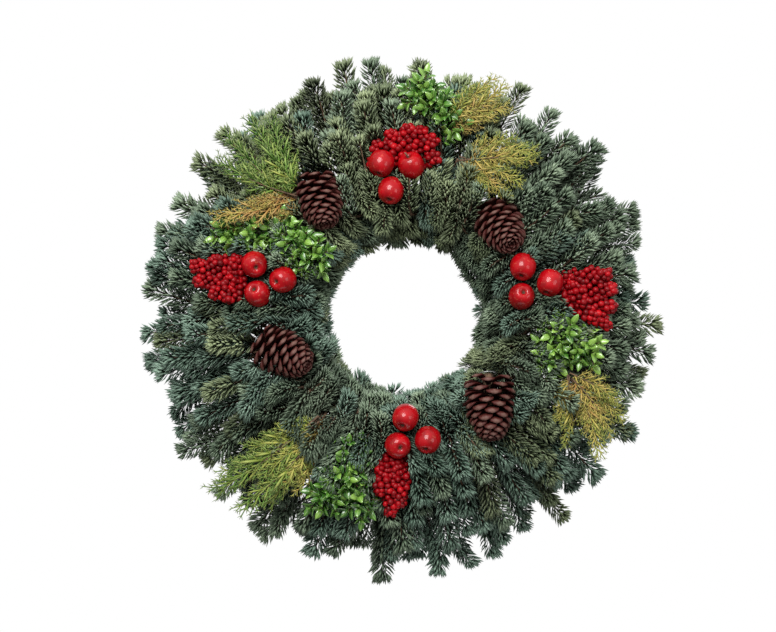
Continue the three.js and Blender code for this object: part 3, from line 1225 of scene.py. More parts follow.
@dataclass
class FirBunch:
    """One bunch of fir: cut stems in the trough, branches that rise from them, and shoots that fan out."""

    number: int
    ring: Ring
    kind: FirKind
    other: FirKind
    bright: float = 0.35
    stems: int = 6
    rng: np.random.Generator = field(init=False)

    def __post_init__(self) -> None:
        """Starts the bunch's own source of small differences."""
        self.rng = np.random.default_rng(700 + self.number)

    @property
    def heading(self) -> float:
        """The clock angle that the bunch points to."""
        return (self.number - 0.5) * 30.0

    @property
    def node(self) -> str:
        """The plain solid that it takes the place of."""
        return f"fir_bunch_{self.number:02d}"

    def shoot(self, stock: FirStock, root: Array, tip: Array, thin: bool) -> list[Pattern]:
        """One shoot, and the branch that carries it from the trough.

        Args:
            stock: the shoots to choose from.
            root: where the shoot starts.
            tip: where it ends.
            thin: whether it may be a thin one.

        Returns:
            The shoot and its branch.
        """
        along = tip - root
        pattern, size = stock.nearest(float(np.linalg.norm(along)), thin, self.rng)
        up = unit(np.array([0, -1.0, 0.0]) + self.rng.normal(0, 0.3, 3))
        shoot = pattern.copies([standing(root, along, up, size)], [self.bright + self.rng.normal(0, 0.17)])
        if self.rng.random() < 0.24:
            shoot = shoot.swapped(0, 2)
        clock = self.heading + self.rng.uniform(-7, 7)
        start = self.ring.at(clock, 124.5 + self.rng.uniform(-6, 6), 30 + self.rng.uniform(-4, 3))
        bend = (start + root) / 2 + np.array([0, -0.012, 0])
        branch = Twig.bent(stock.rod, [start, bend, root + along * 0.05], 1.9, 1.5)
        return [shoot, branch.toned(0.3)]

    @staticmethod
    def outline(clock: float, radius_mm: float) -> float:
        """Makes the wreath a little taller than wide, and its hole a little wider on the right.

        Args:
            clock: the clock angle, in degrees.
            radius_mm: the radius of a round wreath there.

        Returns:
            The radius of this one there.
        """
        angle = math.radians(clock)
        if radius_mm > 120:
            return min(radius_mm, 302) * (1 + 0.01 * math.cos(angle) ** 2)
        return radius_mm + 5 + 6 * math.sin(angle)

    def layer(self, stock: FirStock, row: Layer) -> list[Pattern]:
        """The shoots of one row.

        Args:
            stock: the shoots to choose from.
            row: the row.

        Returns:
            The shoots and their branches.
        """
        made = []
        for index in range(row.count):
            place = (index + 0.5 + row.stagger) / row.count - 0.5
            clock = self.heading + place * 30 + self.rng.normal(0, 1.0)
            clock -= row.sweep / 2
            turn = clock + row.sweep + self.rng.normal(0, 3.4)
            drift = self.rng.normal(0, 0.55, 2) * row.jitter_mm
            root = self.ring.at(clock, row.root[0] + drift[0], row.root[1] + self.rng.normal(0, 3))
            reach = self.outline(turn, row.tip[0] + drift[1])
            tip = self.ring.at(turn, reach, row.tip[1] + self.rng.normal(0, 5))
            made += self.shoot(stock, root, tip, row.thin)
        return made

    def tucked(self, stock: FirStock, cone: Room) -> list[Pattern]:
        """Thin shoots tucked in behind a cone, so that the door doesn't show beside it.

        Args:
            stock: the shoots to choose from.
            cone: what the cone takes up.

        Returns:
            The shoots and their branches, or nothing where the cone lies on another bunch.
        """
        middle = (cone.start + cone.end) / 2
        off = self.ring.clock_of(middle) - self.heading
        if abs((off + 180) % 360 - 180) > 15:
            return []
        made = []
        for index in range(6):
            angle = (index + 0.4) / 6 * math.tau
            side = np.array([math.cos(angle), 0, math.sin(angle)])
            root = middle + side * 0.006 + np.array([0, 0.05, 0])
            made += self.shoot(stock, root, middle + side * 0.058 + np.array([0, 0.034, 0]), True)
        return made

    def stem_bundle(self, stock: FirStock) -> list[Pattern]:
        """The cut stems that lie side by side in the trough.

        Args:
            stock: where their straight stem comes from.

        Returns:
            The stems.
        """
        made = []
        for index in range(self.stems):
            angle = index / self.stems * math.tau + self.rng.normal(0, 0.2)
            reach = 6.2 if index else 0.0
            radius = 124.5 + reach * math.cos(angle)
            depth = 22.5 + reach * math.sin(angle)
            start = self.ring.at(self.heading - 12 + self.rng.uniform(-1, 1.5), radius, depth)
            end = self.ring.at(self.heading + 11 + self.rng.uniform(-3, 1), radius, depth)
            bend = (start + end) / 2 + self.ring.at(self.heading, 2.5, 0) - self.ring.at(self.heading, 0, 0)
            thick = self.rng.uniform(2.6, 3.6)
            made.append(Twig.bent(stock.cut_stem, [start, bend, end], thick, thick * 0.8).toned(0.3))
        return made

    def build(self, stock: FirStock, fruits: Sequence[Room], cones: Sequence[Room]) -> None:
        """Makes the whole bunch as one piece.

        Args:
            stock: the shoots to choose from.
            fruits: what the apples and berry clusters take up.
            cones: what the cones take up.
        """
        parts: list[Pattern] = []
        for row in OUTWARD + INWARD:
            parts += self.layer(stock, row)
        for cone in cones:
            parts += self.tucked(stock, cone)
        parts += self.stem_bundle(stock)
        finishes = [self.kind.value, BARK, self.other.value, CUT_WOOD]
        whole = Pattern.joined(parts).moved(self.pressed).clear_of([*fruits, *cones])
        Piece.place(f"{self.node}_foliage", whole, finishes, "fir_needles", [self.node], by_shade=True)

    @staticmethod
    def pressed(points: Array) -> Array:
        """Bends whatever would go into the door flat against it.

        Args:
            points: the bunch's points.

        Returns:
            The points, all in front of the door.
        """
        out = points.copy()
        near = -0.004
        out[:, 1] = np.where(out[:, 1] > near, near + (out[:, 1] - near) * 0.35, out[:, 1])
        out[:, 1] = np.minimum(out[:, 1], -0.0004 + out[:, 1] * 0.02)
        return out


# ---- Cedar and boxwood ----


@dataclass(frozen=True)
class CedarPlume:
    """A flat, ferny plume of scaly strands on a fine stem."""

    length_mm: float = 96.0
    branches: int = 17
    reach_mm: float = 26.0
    strand_mm: float = 9.0
    droop_mm: float = 9.0
    seed: int = 31

    def strand(self) -> Pattern:
        """One scaly strand: a flattened spike that is widest past its middle.

        Returns:
            The strand, along +Z.
        """
        Bench.spike(3, (0.55,))
        bpy.ops.object.mode_set(mode="EDIT")
        Bench.at_level(0.0, (0.58, 0.4, 1))
        Bench.at_level(0.55, (1.6, 1.1, 1))
        return Pattern.taken_from(Bench.sized((MM, MM, self.strand_mm * MM)))

    def pattern(self, rod: Pattern) -> Pattern:
        """Sets strands on side branches, longest below the middle.

        Args:
            rod: the straight rod that its stem is bent from.

        Returns:
            The plume, along +Z, flat in X, with its face to +Y.
        """
        rng = np.random.default_rng(self.seed)
        strand = self.strand()
        matrices, tones = [], []
        face = np.array([0, 1.0, 0])
        for index in range(self.branches):
            share = 0.1 + 0.86 * index / (self.branches - 1)
            side = 1 if index % 2 else -1
            root = np.array([0, 0, share * self.length_mm])
            lean = math.radians(46 - 22 * share + rng.normal(0, 7)) * side
            heading = np.array([math.sin(lean), rng.normal(0, 0.16), math.cos(lean)])
            fullness = (1 - share) ** 0.55 * min(1.0, 0.45 + 2.2 * share)
            reach = self.reach_mm * fullness * rng.uniform(0.7, 1.2) + 6
            count = max(3, int(reach / 3.1))
            shade = 0.26 * (0.62 - share) + rng.normal(0, 0.07)
            for step in range(count):
                inward = step / count
                start = root + heading * reach * inward
                turn = 1 if step % 2 else -1
                fork = lean + math.radians(rng.normal(36, 9)) * turn * (step < count - 1)
                direction = np.array([math.sin(fork), rng.normal(0, 0.12), math.cos(fork)])
                size = (1.2 - 0.45 * inward) * rng.uniform(0.85, 1.15)
                matrices.append(standing(start * MM, direction, face, size))
                tones.append(shade - 0.1 * inward + rng.normal(0, 0.07))
                for again in (-1, 1):
                    twist = fork + math.radians(rng.normal(38, 5)) * again
                    middle = start + direction * size * self.strand_mm * rng.uniform(0.3, 0.6)
                    away = np.array([math.sin(twist), rng.normal(0, 0.15), math.cos(twist)])
                    matrices.append(standing(middle * MM, away, face, size * 0.55))
                    tones.append(shade - 0.12 * inward + rng.normal(0, 0.08))
            foot = (root + heading * reach * 0.1) * MM
            matrices.append(standing(foot, heading, face, reach / self.strand_mm * 0.9))
            tones.append(shade + 0.1)
        for step in range(9):
            start = np.array([0, 0, self.length_mm * (0.1 + 0.09 * step)])
            direction = np.array([rng.normal(0, 0.15), 0.05, 1.0])
            matrices.append(standing(start * MM, direction, face, 1.35))
            tones.append(rng.normal(0, 0.05))
        top = np.array([0, 0, 1.0]) * self.length_mm * MM
        stem = Twig.bent(rod, [np.zeros(3), top * 0.45, top * 0.9], 1.2, 0.5)
        plume = Pattern.joined([strand.copies(matrices, tones), stem.toned(0.3)])

        def droop(points: Array) -> Array:
            """Hangs the plume's tip and sides down and waves its stem."""
            out = points.copy()
            share = points[:, 2] / (self.length_mm * MM)
            out[:, 1] -= self.droop_mm * MM * share**2
            out[:, 1] -= np.abs(points[:, 0]) * 0.22
            out[:, 0] += 0.006 * np.sin(share * 2.6)
            return out

        return plume.moved(droop)


@dataclass(frozen=True)
class Plume:
    """Where one plume of a spray points, and its shade from green at 0 to gold at 1."""

    tip: tuple[float, float]
    tone: float
    depth: float = 106.0
    size: float = 1.0


@dataclass(frozen=True)
class CedarSpray:
    """A fan of cedar plumes that lies on the fir."""

    name: str
    base: tuple[float, float]
    plumes: tuple[Plume, ...]

    def build(self, ring: Ring, stock: Sequence[Pattern], rod: Pattern, rooms: Sequence[Room]) -> None:
        """Fans the plumes out from the base.

        Args:
            ring: the wreath's ring.
            stock: the plumes to choose from, each 96 mm long.
            rod: the straight rod that its stalk is bent from.
            rooms: what the fruits and cones take up.
        """
        rng = np.random.default_rng(900 + len(self.name) + len(self.plumes))
        base = ring.flat(*self.base, 94)
        parts = []
        for index, plume in enumerate(self.plumes):
            start = base + rng.normal(0, 0.004, 3)
            tip = ring.flat(*plume.tip, plume.depth)
            along = tip - start
            size = float(np.linalg.norm(along)) / 0.1 * plume.size
            matrix = standing(start, along, unit((rng.normal(0, 0.3), -1, rng.normal(0, 0.3))), size)
            matrix[:3, :2] /= max(size, 0.01) ** 0.5
            parts.append(stock[index % len(stock)].copies([matrix], [plume.tone]))
        root = ring.flat(self.base[0] * 0.92, self.base[1] * 0.92, 48)
        bend = (root + base) / 2 + np.array([0, -0.01, 0])
        parts.append(Twig.bent(rod, [root, bend, base], 2.0, 1.5).toned(0.3))
        node = f"cedar_spray_{self.name}"
        spray = Pattern.joined(parts).clear_of(rooms)
        Piece.place(f"{node}_plumes", spray, [CedarFinish(), BARK], "cedar_leaf", [node], by_shade=True)


@dataclass(frozen=True)
class BoxwoodLeaf:
    """A small oval leaf, cupped along its rib."""

    length_mm: float = 18.0
    width_mm: float = 9.6
    thickness_mm: float = 0.4

    def pattern(self) -> Pattern:
        """Cuts the oval from a grid, cups it and gives it thickness.

        Returns:
            The leaf, along +Z.
        """
        Bench.clear()
        stood = {"location": (0, 0, 0.5), "rotation": (math.pi / 2, 0, 0)}
        bpy.ops.mesh.primitive_grid_add(x_subdivisions=2, y_subdivisions=5, size=1, **stood)
        bpy.ops.object.transform_apply()
        bpy.ops.object.mode_set(mode="EDIT")
        for step, share in enumerate((0.16, 0.78, 1.0, 0.92, 0.6, 0.1)):
            level, wide = step / 5, share * self.width_mm
            Bench.at_level(level, (wide, 1, 1), (0, -2.4 * (level - 0.3) ** 2, 0))
            Bench.at_level(level, (1, 1, 1), (0, 0.16 * wide, 0), off=(0.01, 99))
        piece = Bench.sized((MM, MM, self.length_mm * MM))
        wall = piece.modifiers.new("wall", "SOLIDIFY")
        wall.thickness = self.thickness_mm * MM
        wall.offset = 0.0
        bpy.ops.object.modifier_apply(modifier=wall.name)
        bpy.ops.object.mode_set(mode="EDIT")
        Bench.tidy()
        bpy.ops.object.mode_set(mode="OBJECT")
        return Pattern.taken_from(piece)


@dataclass(frozen=True)
class BoxwoodSprig:
    """A few leafy clumps of boxwood on one stalk."""

    name: str
    clumps: tuple[tuple[float, float], ...]
    bright: float = 0.55
    twigs: int = 10
    pairs: int = 4

    def twig(
        self, leaf: Pattern, rod: Pattern, root: Array, tip: Array, rng: np.random.Generator
    ) -> list[Pattern]:
        """One twig with pairs of leaves that turn a quarter at each step.

        Args:
            leaf: one leaf.
            rod: the straight rod that its stem is bent from.
            root: where it starts.
            tip: where it ends.
            rng: the sprig's source of small differences.

        Returns:
            The stem and its leaves.
        """
        along = unit(tip - root)
        frame_ = standing(root, along)
        matrices, tones = [], []
        for pair in range(self.pairs):
            share = 0.3 + 0.7 * pair / (self.pairs - 1)
            place = root + (tip - root) * share
            turn = pair * math.pi / 2 + rng.normal(0, 0.25)
            for half in (0.0, math.pi):
                side = frame_[:3, 0] * math.cos(turn + half) + frame_[:3, 1] * math.sin(turn + half)
                lean = 0.55 + 0.75 * share
                direction = unit(side + along * lean + rng.normal(0, 0.12, 3))
                size = (1.05 - 0.35 * share) * rng.uniform(0.85, 1.1)
                matrices.append(standing(place, direction, along, size))
                tones.append(self.bright + 0.35 * share - 0.2 + rng.normal(0, 0.16))
        stem = Twig.bent(rod, [root, (root + tip) / 2, tip], 0.9, 0.5).toned(0.3)
        return [leaf.copies(matrices, tones), stem]

    def build(self, ring: Ring, leaf: Pattern, rod: Pattern, rooms: Sequence[Room]) -> None:
        """Fills each clump with twigs that open towards the front.

        Args:
            ring: the wreath's ring.
            leaf: one leaf.
            rod: the straight rod that its stems are bent from.
            rooms: what the fruits and cones take up.
        """
        rng = np.random.default_rng(400 + len(self.name))
        parts = []
        for index, (across, up) in enumerate(self.clumps):
            root = ring.flat(across, up, 82 - 3 * index)
            for step in range(self.twigs):
                angle = step * GOLDEN_ANGLE + index
                spread = 23 * math.sqrt((step + 0.5) / self.twigs)
                tip = ring.flat(
                    across + spread * math.cos(angle),
                    up + spread * math.sin(angle),
                    108 - 3 * index - 0.4 * spread + rng.normal(0, 2),
                )
                parts += self.twig(leaf, rod, root + (tip - root) * 0.1, tip, rng)
            foot = ring.flat(across * 0.9, up * 0.9, 50)
            parts.append(Twig.bent(rod, [foot, (foot + root) / 2, root], 1.6, 1.2).toned(0.3))
        node = f"boxwood_sprig_{self.name}"
        sprig = Pattern.joined(parts).clear_of(rooms)
        Piece.place(f"{node}_leaves", sprig, [BoxwoodFinish(), BARK], "boxwood_leaf", [node], by_shade=True)


# ---- Fruit and cones ----


@dataclass(frozen=True)
class Apple:
    """A small polished apple with a stalk in one hollow and a dried flower in the other."""

    radius_mm: float = 15.0
    steps: int = 24

    def pattern(self) -> Pattern:
        """Turns the apple and dresses both of its hollows. Its stalk points to +Z.

        Returns:
            The apple, with its middle at the origin.
        """
        outline = [
            (0.0, -0.68), (0.1, -0.72), (0.22, -0.88), (0.45, -0.93), (0.78, -0.68), (0.95, -0.3),
            (1.0, 0.12), (0.95, 0.5), (0.77, 0.81), (0.5, 0.96), (0.27, 0.93), (0.12, 0.8), (0.0, 0.66),
        ]
        profile = [(r * self.radius_mm * MM, h * self.radius_mm * MM) for r, h in outline]
        body = Pattern.taken_from(Bench.refined(Bench.turned(profile, self.steps), 1))
        off = np.hypot(body.points[:, 0], body.points[:, 1])
        body = replace(body, along=1 - np.arctan2(off, body.points[:, 2]) / math.pi)
        rod = Twig(6, (0.33, 0.66)).pattern()
        foot = np.array([0, 0, 0.6]) * self.radius_mm * MM
        end = np.array([0.14, 0.1, 1.22]) * self.radius_mm * MM
        stalk = Twig.bent(rod, [foot, foot * 1.5, end], 0.65, 0.95).toned(0.3)
        sepal = Pattern.taken_from(Bench.spike(4, (0.4,)), finish=1)
        matrices = []
        for index in range(5):
            angle = index / 5 * math.tau
            side = np.array([math.cos(angle), math.sin(angle), 0])
            start = side * 0.7 * MM + np.array([0, 0, -0.7]) * self.radius_mm * MM
            matrix = standing(start, side * 0.8 + np.array([0, 0, -1.0]), side)
            matrix[:3, 0] *= 0.9 * MM
            matrix[:3, 1] *= 0.35 * MM
            matrix[:3, 2] *= 2.8 * MM
            matrices.append(matrix)
        return Pattern.joined([body, stalk, sepal.copies(matrices).toned(0.2)])


@dataclass(frozen=True)
class Berry:
    """One dry berry with a pinched end."""

    radius_mm: float = 4.3

    def pattern(self) -> Pattern:
        """Shapes the berry from an even ball.

        Returns:
            The berry, with its pinched end to +Z.
        """
        Bench.clear()
        bpy.ops.mesh.primitive_ico_sphere_add(subdivisions=2, radius=1)
        bpy.ops.object.mode_set(mode="EDIT")
        Bench.reshape(lambda place: place.z > 0.8, (0.8, 0.8, 1.14))
        Bench.reshape(lambda place: place.z < -0.8, (1.1, 1.1, 0.94))
        size = self.radius_mm * MM
        return Pattern.taken_from(Bench.sized((size, size, size)))


@dataclass(frozen=True)
class FruitPick:
    """Three apples and a spray of berries on wired picks."""

    name: str
    foot: float  # the clock angle where its wires reach the frame
    crown: tuple[float, float]  # across and up of the place where its berry clusters start
    clusters: tuple[tuple[float, float], ...]  # across and up of each cluster's tip
    stalks: tuple[tuple[float, float, float], ...]  # the way that each apple's stalk end points

    def apples(self, apple: Pattern) -> None:
        """Puts each apple in its place.

        Args:
            apple: one apple.
        """
        for index, direction in enumerate(self.stalks, start=1):
            node = f"red_apple_{self.name}_{index}"
            fruit = apple.copies([standing(middle_of(node), direction, (0.3, 0.2, 1), 1.0, index * 1.3)])
            Piece.place(f"{node}_fruit", fruit, [AppleFinish(), BARK], "apple_skin", [node])

    def spray(self, ring: Ring, berry: Pattern, rod: Pattern) -> None:
        """Sets each long cluster with berries on short stalks.

        Args:
            ring: the wreath's ring.
            berry: one berry.
            rod: the straight rod that the stalks are bent from.
        """
        rng = np.random.default_rng(50 + int(self.foot))
        stalk = Twig(3, ()).pattern()
        parts = []
        crown = ring.flat(*self.crown, 80)
        for number, (across, up) in enumerate(self.clusters):
            tip = ring.flat(across, up, 91 + rng.uniform(-3, 5))
            axis = standing(crown, tip - crown)
            length = float(np.linalg.norm(tip - crown)) / MM
            count = int(length * 0.8) + 10
            parts.append(Twig.bent(rod, [crown, (crown + tip) / 2, tip], 0.9, 0.5))
            for index in range(count):
                share = 0.12 + 0.88 * (index + 0.5) / count
                angle = index * GOLDEN_ANGLE + number
                wide = 11.5 * math.sin(math.pi * (0.22 + 0.72 * share)) ** 0.7 * rng.uniform(0.6, 1.05)
                out = axis[:3, 0] * math.cos(angle) + axis[:3, 1] * math.sin(angle)
                stem = crown + (tip - crown) * (share - 0.08)
                place = crown + (tip - crown) * share + out * wide * MM
                size = rng.uniform(0.66, 1.02)
                tone = 0.42 + rng.normal(0, 0.22)
                parts.append(berry.copies([standing(place, place - stem, (0, 0, 1), size)], [tone]))
                parts.append(Twig.bent(stalk, [stem, (stem + place) / 2, place], 0.5, 0.4))
        node = f"pepperberry_spray_{self.name}"
        spray_ = Pattern.joined(parts).clear_of(self.rooms(ring)[-3:])
        Piece.place(f"{node}_berries", spray_, [BerryFinish(), BARK], "pepperberry", [node], by_shade=True)

    def wires(self, ring: Ring) -> None:
        """Twists the apples' wires together and takes them back to the frame.

        Args:
            ring: the wreath's ring.
        """
        foot = ring.at(self.foot, 124.5, 26)
        heads = [middle_of(f"red_apple_{self.name}_{index}") for index in (1, 2, 3)]
        knot = sum(heads) / 3 + np.array([0, 0.03, 0])
        routes = []
        for index, head in enumerate(heads):
            route = []
            for step in range(40):
                share = step / 39
                angle = share * 22 + index * math.tau / 3
                around = standing(foot, knot - foot)
                offset = (around[:3, 0] * math.cos(angle) + around[:3, 1] * math.sin(angle)) * 0.65 * MM
                route.append(foot + (knot - foot) * share + offset)
            for step in range(1, 9):
                route.append(bezier([route[39], knot + np.array([0, -0.008, 0]), head], step / 8))
            routes.append(route)
        node = f"fruit_pick_wire_{self.name}"
        wires = Bench.swept(routes, 0.5)
        Piece.place(f"{node}_strands", wires, [GREEN_WIRE], "green_wire", [node])

    def rooms(self, ring: Ring) -> list[Room]:
        """What its apples and berry clusters take up.

        Args:
            ring: the wreath's ring.

        Returns:
            The room of each.
        """
        crown = ring.flat(*self.crown, 84)
        heads = [middle_of(f"red_apple_{self.name}_{index}") for index in (1, 2, 3)]
        clusters = [Room(crown, ring.flat(*tip, 94), 11.0) for tip in self.clusters]
        return clusters + [Room(head, head, 15.4) for head in heads]

    def build(self, ring: Ring, apple: Pattern, berry: Pattern, rod: Pattern) -> None:
        """Makes the apples, the berries and their wires.

        Args:
            ring: the wreath's ring.
            apple: one apple.
            berry: one berry.
            rod: the straight rod that the stalks are bent from.
        """
        self.apples(apple)
        self.spray(ring, berry, rod)
        self.wires(ring)


@dataclass(frozen=True)
class ConeScale:
    """One woody scale: a thin blade that thickens to a blunt, pointed lip."""

    length_mm: float = 21.0
    width_mm: float = 13.0
    sections: tuple[tuple[float, ...], ...] = (  # height and width as shares, depth and outward bend in mm
        (0.0, 0.3, 1.4, 0.0), (0.2, 0.42, 1.2, -0.3), (0.45, 0.7, 1.5, -0.6), (0.68, 0.95, 2.0, -0.2),
        (0.84, 1.0, 3.6, 0.9), (0.94, 0.8, 4.2, 2.0), (1.0, 0.36, 2.6, 2.7),
    )

    def pattern(self) -> Pattern:
        """Draws the scale out of a small block, step by step. It points to +Z with its outer face to +Y.

        Returns:
            The scale.
        """
        Bench.clear()
        bpy.ops.mesh.primitive_cube_add(size=1, location=(0, 0, 0.5))
        bpy.ops.object.transform_apply()
        bpy.ops.object.mode_set(mode="EDIT")
        bpy.ops.mesh.select_all(action="SELECT")
        bpy.ops.mesh.bisect(plane_co=(0, 0, 0), plane_no=(1, 0, 0))
        Bench.cut_across([section[0] for section in self.sections[1:-1]])
        for level, wide, deep, lift in self.sections:
            Bench.at_level(level, (1, deep, 1), (0, lift, 0), off=(0, 0.01))
            Bench.at_level(level, (wide * self.width_mm, deep * 0.42, 1), (0, lift, 0), off=(0.1, 99))
        return Pattern.taken_from(Bench.sized((MM, MM, self.length_mm * MM)))


@dataclass(frozen=True)
class PineCone:
    """An open pine cone of spiralled scales, wired round its base."""

    name: str
    foot: float  # the clock angle where its wire reaches the frame
    tip: tuple[float, float, float]
    radius_mm: float = 29.0
    length_mm: float = 76.0
    scales: int = 92

    def base(self) -> Array:
        """The middle of its base."""
        middle = middle_of(f"pine_cone_{self.name}") + np.array([0, -2, 0]) * MM
        return middle - unit(self.tip) * self.length_mm / 2 * MM

    def room(self) -> Room:
        """What the cone takes up.

        Returns:
            The room, which leaves out the looser scales at each end.
        """
        axis = unit(self.tip)
        near, far = 18 * MM, (self.length_mm - 16) * MM
        return Room(self.base() + axis * near, self.base() + axis * far, self.radius_mm * 0.93)

    def build(self, ring: Ring, scale: Pattern, rod: Pattern) -> None:
        """Sets the scales round the axis from the base to the tip, then wires the cone on.

        Args:
            ring: the wreath's ring.
            scale: one scale.
            rod: the straight rod that the core is bent from.
        """
        node = f"pine_cone_{self.name}"
        rng = np.random.default_rng(60 + int(self.foot))
        base, axis = self.base(), unit(self.tip)
        stand = standing(base, axis, (0.2, -1, 0.3))
        matrices, tones = [], []
        for index in range(self.scales):
            share = (index + 0.5) / self.scales
            height = share**0.82
            angle = index * GOLDEN_ANGLE
            outline = math.sin(math.pi * (0.16 + 0.84 * height) ** 0.72) ** 0.62
            lean = math.radians(101 - 62 * height**1.15)
            out = np.array([math.cos(angle), math.sin(angle), 0])
            direction = out * math.sin(lean) + np.array([0, 0, math.cos(lean)])
            core = 4.5 * (1 - height)
            root = out * core + np.array([0, 0, 11 + (self.length_mm - 19) * height])
            size = max(0.3, (self.radius_mm * outline - core) / max(0.35, math.sin(lean)) / 21.0)
            size = min(size, 1.36) * rng.uniform(0.95, 1.04)
            upper = np.array([0, 0, math.sin(lean)]) - out * math.cos(lean)
            matrices.append(standing(root * MM, direction, upper, size))
            tones.append(rng.uniform(0.1, 0.9))
        scales = scale.copies(matrices, tones)
        end = np.array([0, 0, self.length_mm - 10]) * MM
        core = Twig.bent(rod, [np.array([0, 0, 6 * MM]), end / 2, end], 8.0, 2.0)
        cone = Pattern.joined([scales, core.toned(0.3)]).copies([stand])
        Piece.place(f"{node}_scales", cone, [ConeFinish(), BARK], "pine_cone_scales", [node], by_shade=True)
        self.wire(ring, stand)

    def wire(self, ring: Ring, stand: Array) -> None:
        """Loops the wire between the lowest scales, twists it and takes it back to the frame.

        Args:
            ring: the wreath's ring.
            stand: the matrix that the cone stands on.
        """
        node = f"cone_wire_{self.name}"
        foot = ring.at(self.foot, 124.5, 26)
        heel = stand[:3, 3] - stand[:3, 2] * 2 * MM
        loop = []
        for step in range(25):
            angle = step / 24 * math.tau
            out = stand[:3, 0] * math.cos(angle) + stand[:3, 1] * math.sin(angle)
            loop.append(stand[:3, 3] + stand[:3, 2] * 5 * MM + out * 10 * MM)
        tail = [bezier([loop[-1], heel, heel + (foot - heel) * 0.2], step / 6) for step in range(1, 7)]
        tail += [heel + (foot - heel) * (0.2 + 0.8 * step / 6) for step in range(1, 7)]
        Piece.place(f"{node}_twist", Bench.swept([loop + tail], 0.6), [ZINC], "galvanised_wire", [node])


# ---- Frame, loop and binding ----


@dataclass(frozen=True)
class WireFrame:
    """The ring frame: four rails welded to bent cross wires."""

    rails: tuple[tuple[float, float], ...] = ((150, 27), (133, 4.2), (116, 4.2), (99, 27))
    wire_mm: float = 1.8
    strut_mm: float = 1.5
    struts: int = 8

    def build(self, ring: Ring) -> None:
        """Bends the rails and cross wires, and adds a bead at each weld.

        Args:
            ring: the wreath's ring.
        """
        rounds = [[ring.at(step * 2.5, radius, depth) for step in range(144)] for radius, depth in self.rails]
        parts = [Bench.swept(rounds, self.wire_mm, 12, closed=True)]
        bead = self.bead()
        crossings = []
        for index in range(self.struts):
            clock = (index + 0.5) / self.struts * 360
            corners = [ring.at(clock, radius, depth) for radius, depth in self.rails]
            crossings.append(corners)
            parts.append(bead.copies([standing(corner, corner - corners[0] + 1e-4) for corner in corners]))
        parts.append(Bench.swept(crossings, self.strut_mm, 12))
        node = "wire_frame"
        Piece.place("wire_frame_rails", Pattern.joined(parts), [ZINC], "galvanised_wire", [node])

    def bead(self) -> Pattern:
        """A small lump of weld.

        Returns:
            The bead.
        """
        Bench.clear()
        bpy.ops.mesh.primitive_ico_sphere_add(subdivisions=2, radius=self.wire_mm * 1.12 * MM)
        bpy.ops.object.mode_set(mode="EDIT")
        bpy.ops.transform.vertex_random(offset=self.wire_mm * 0.1 * MM, seed=4)
        bpy.ops.object.mode_set(mode="OBJECT")
        return Pattern.taken_from(bpy.context.object)


@dataclass(frozen=True)
class HangingLoop:
    """A wire eye that is turned once round the back rail."""

    wire_mm: float = 1.0
    eye_mm: float = 9.0
    collar_mm: float = 3.48

    def build(self, ring: Ring) -> None:
        """Bends the eye and the turn round the rail from one round section of wire.

        Args:
            ring: the wreath's ring.
        """
        rail = ring.at(0, 133, 4.2)
        middle = rail + np.array([0, 0, (self.collar_mm + self.eye_mm) * MM])
        eye, collar = [], []
        for step in range(48):
            angle = step / 48 * math.tau
            eye.append(middle + np.array([math.sin(angle), 0, math.cos(angle)]) * self.eye_mm * MM)
            collar.append(rail + np.array([0, math.sin(angle), math.cos(angle)]) * self.collar_mm * MM)
        loop = Bench.swept([eye, collar], self.wire_mm, 12, closed=True)
        Piece.place("hanging_loop_eye", loop, [ZINC], "galvanised_wire", ["hanging_loop"])


@dataclass(frozen=True)
class BindingWire:
    """The green wire that winds round the frame and over the stems, once for each bunch."""

    bunches: int = 12
    wire_mm: float = 0.7
    turn: tuple[tuple[float, float], ...] = (
        (153.6, 29), (152.9, 24.6), (135.8, 1.4), (124.5, 0.9), (113.2, 1.4), (96.1, 24.6),
        (95.4, 29), (101, 35), (112, 40), (124.5, 42), (137, 40), (148, 35),
    )

    def build(self, ring: Ring) -> None:
        """Winds the wire along the rounded turns.

        Args:
            ring: the wreath's ring.
        """
        count = self.bunches * len(self.turn)
        knots = [ring.at(i / count * 360, *self.turn[i % len(self.turn)]) for i in range(count)]
        route = []
        for index in range(1, count - 2):
            before, start, end, after = knots[index - 1 : index + 3]
            for step in range(4):
                share = step / 4
                pull = (end - before) * share + (2 * before - 5 * start + 4 * end - after) * share**2
                route.append(start + 0.5 * (pull + (3 * start - before - 3 * end + after) * share**3))
        wire = Bench.swept([route], self.wire_mm, 8)
        Piece.place("binding_wire_winding", wire, [GREEN_WIRE], "green_wire", ["binding_wire"])


# ---- Studio ----


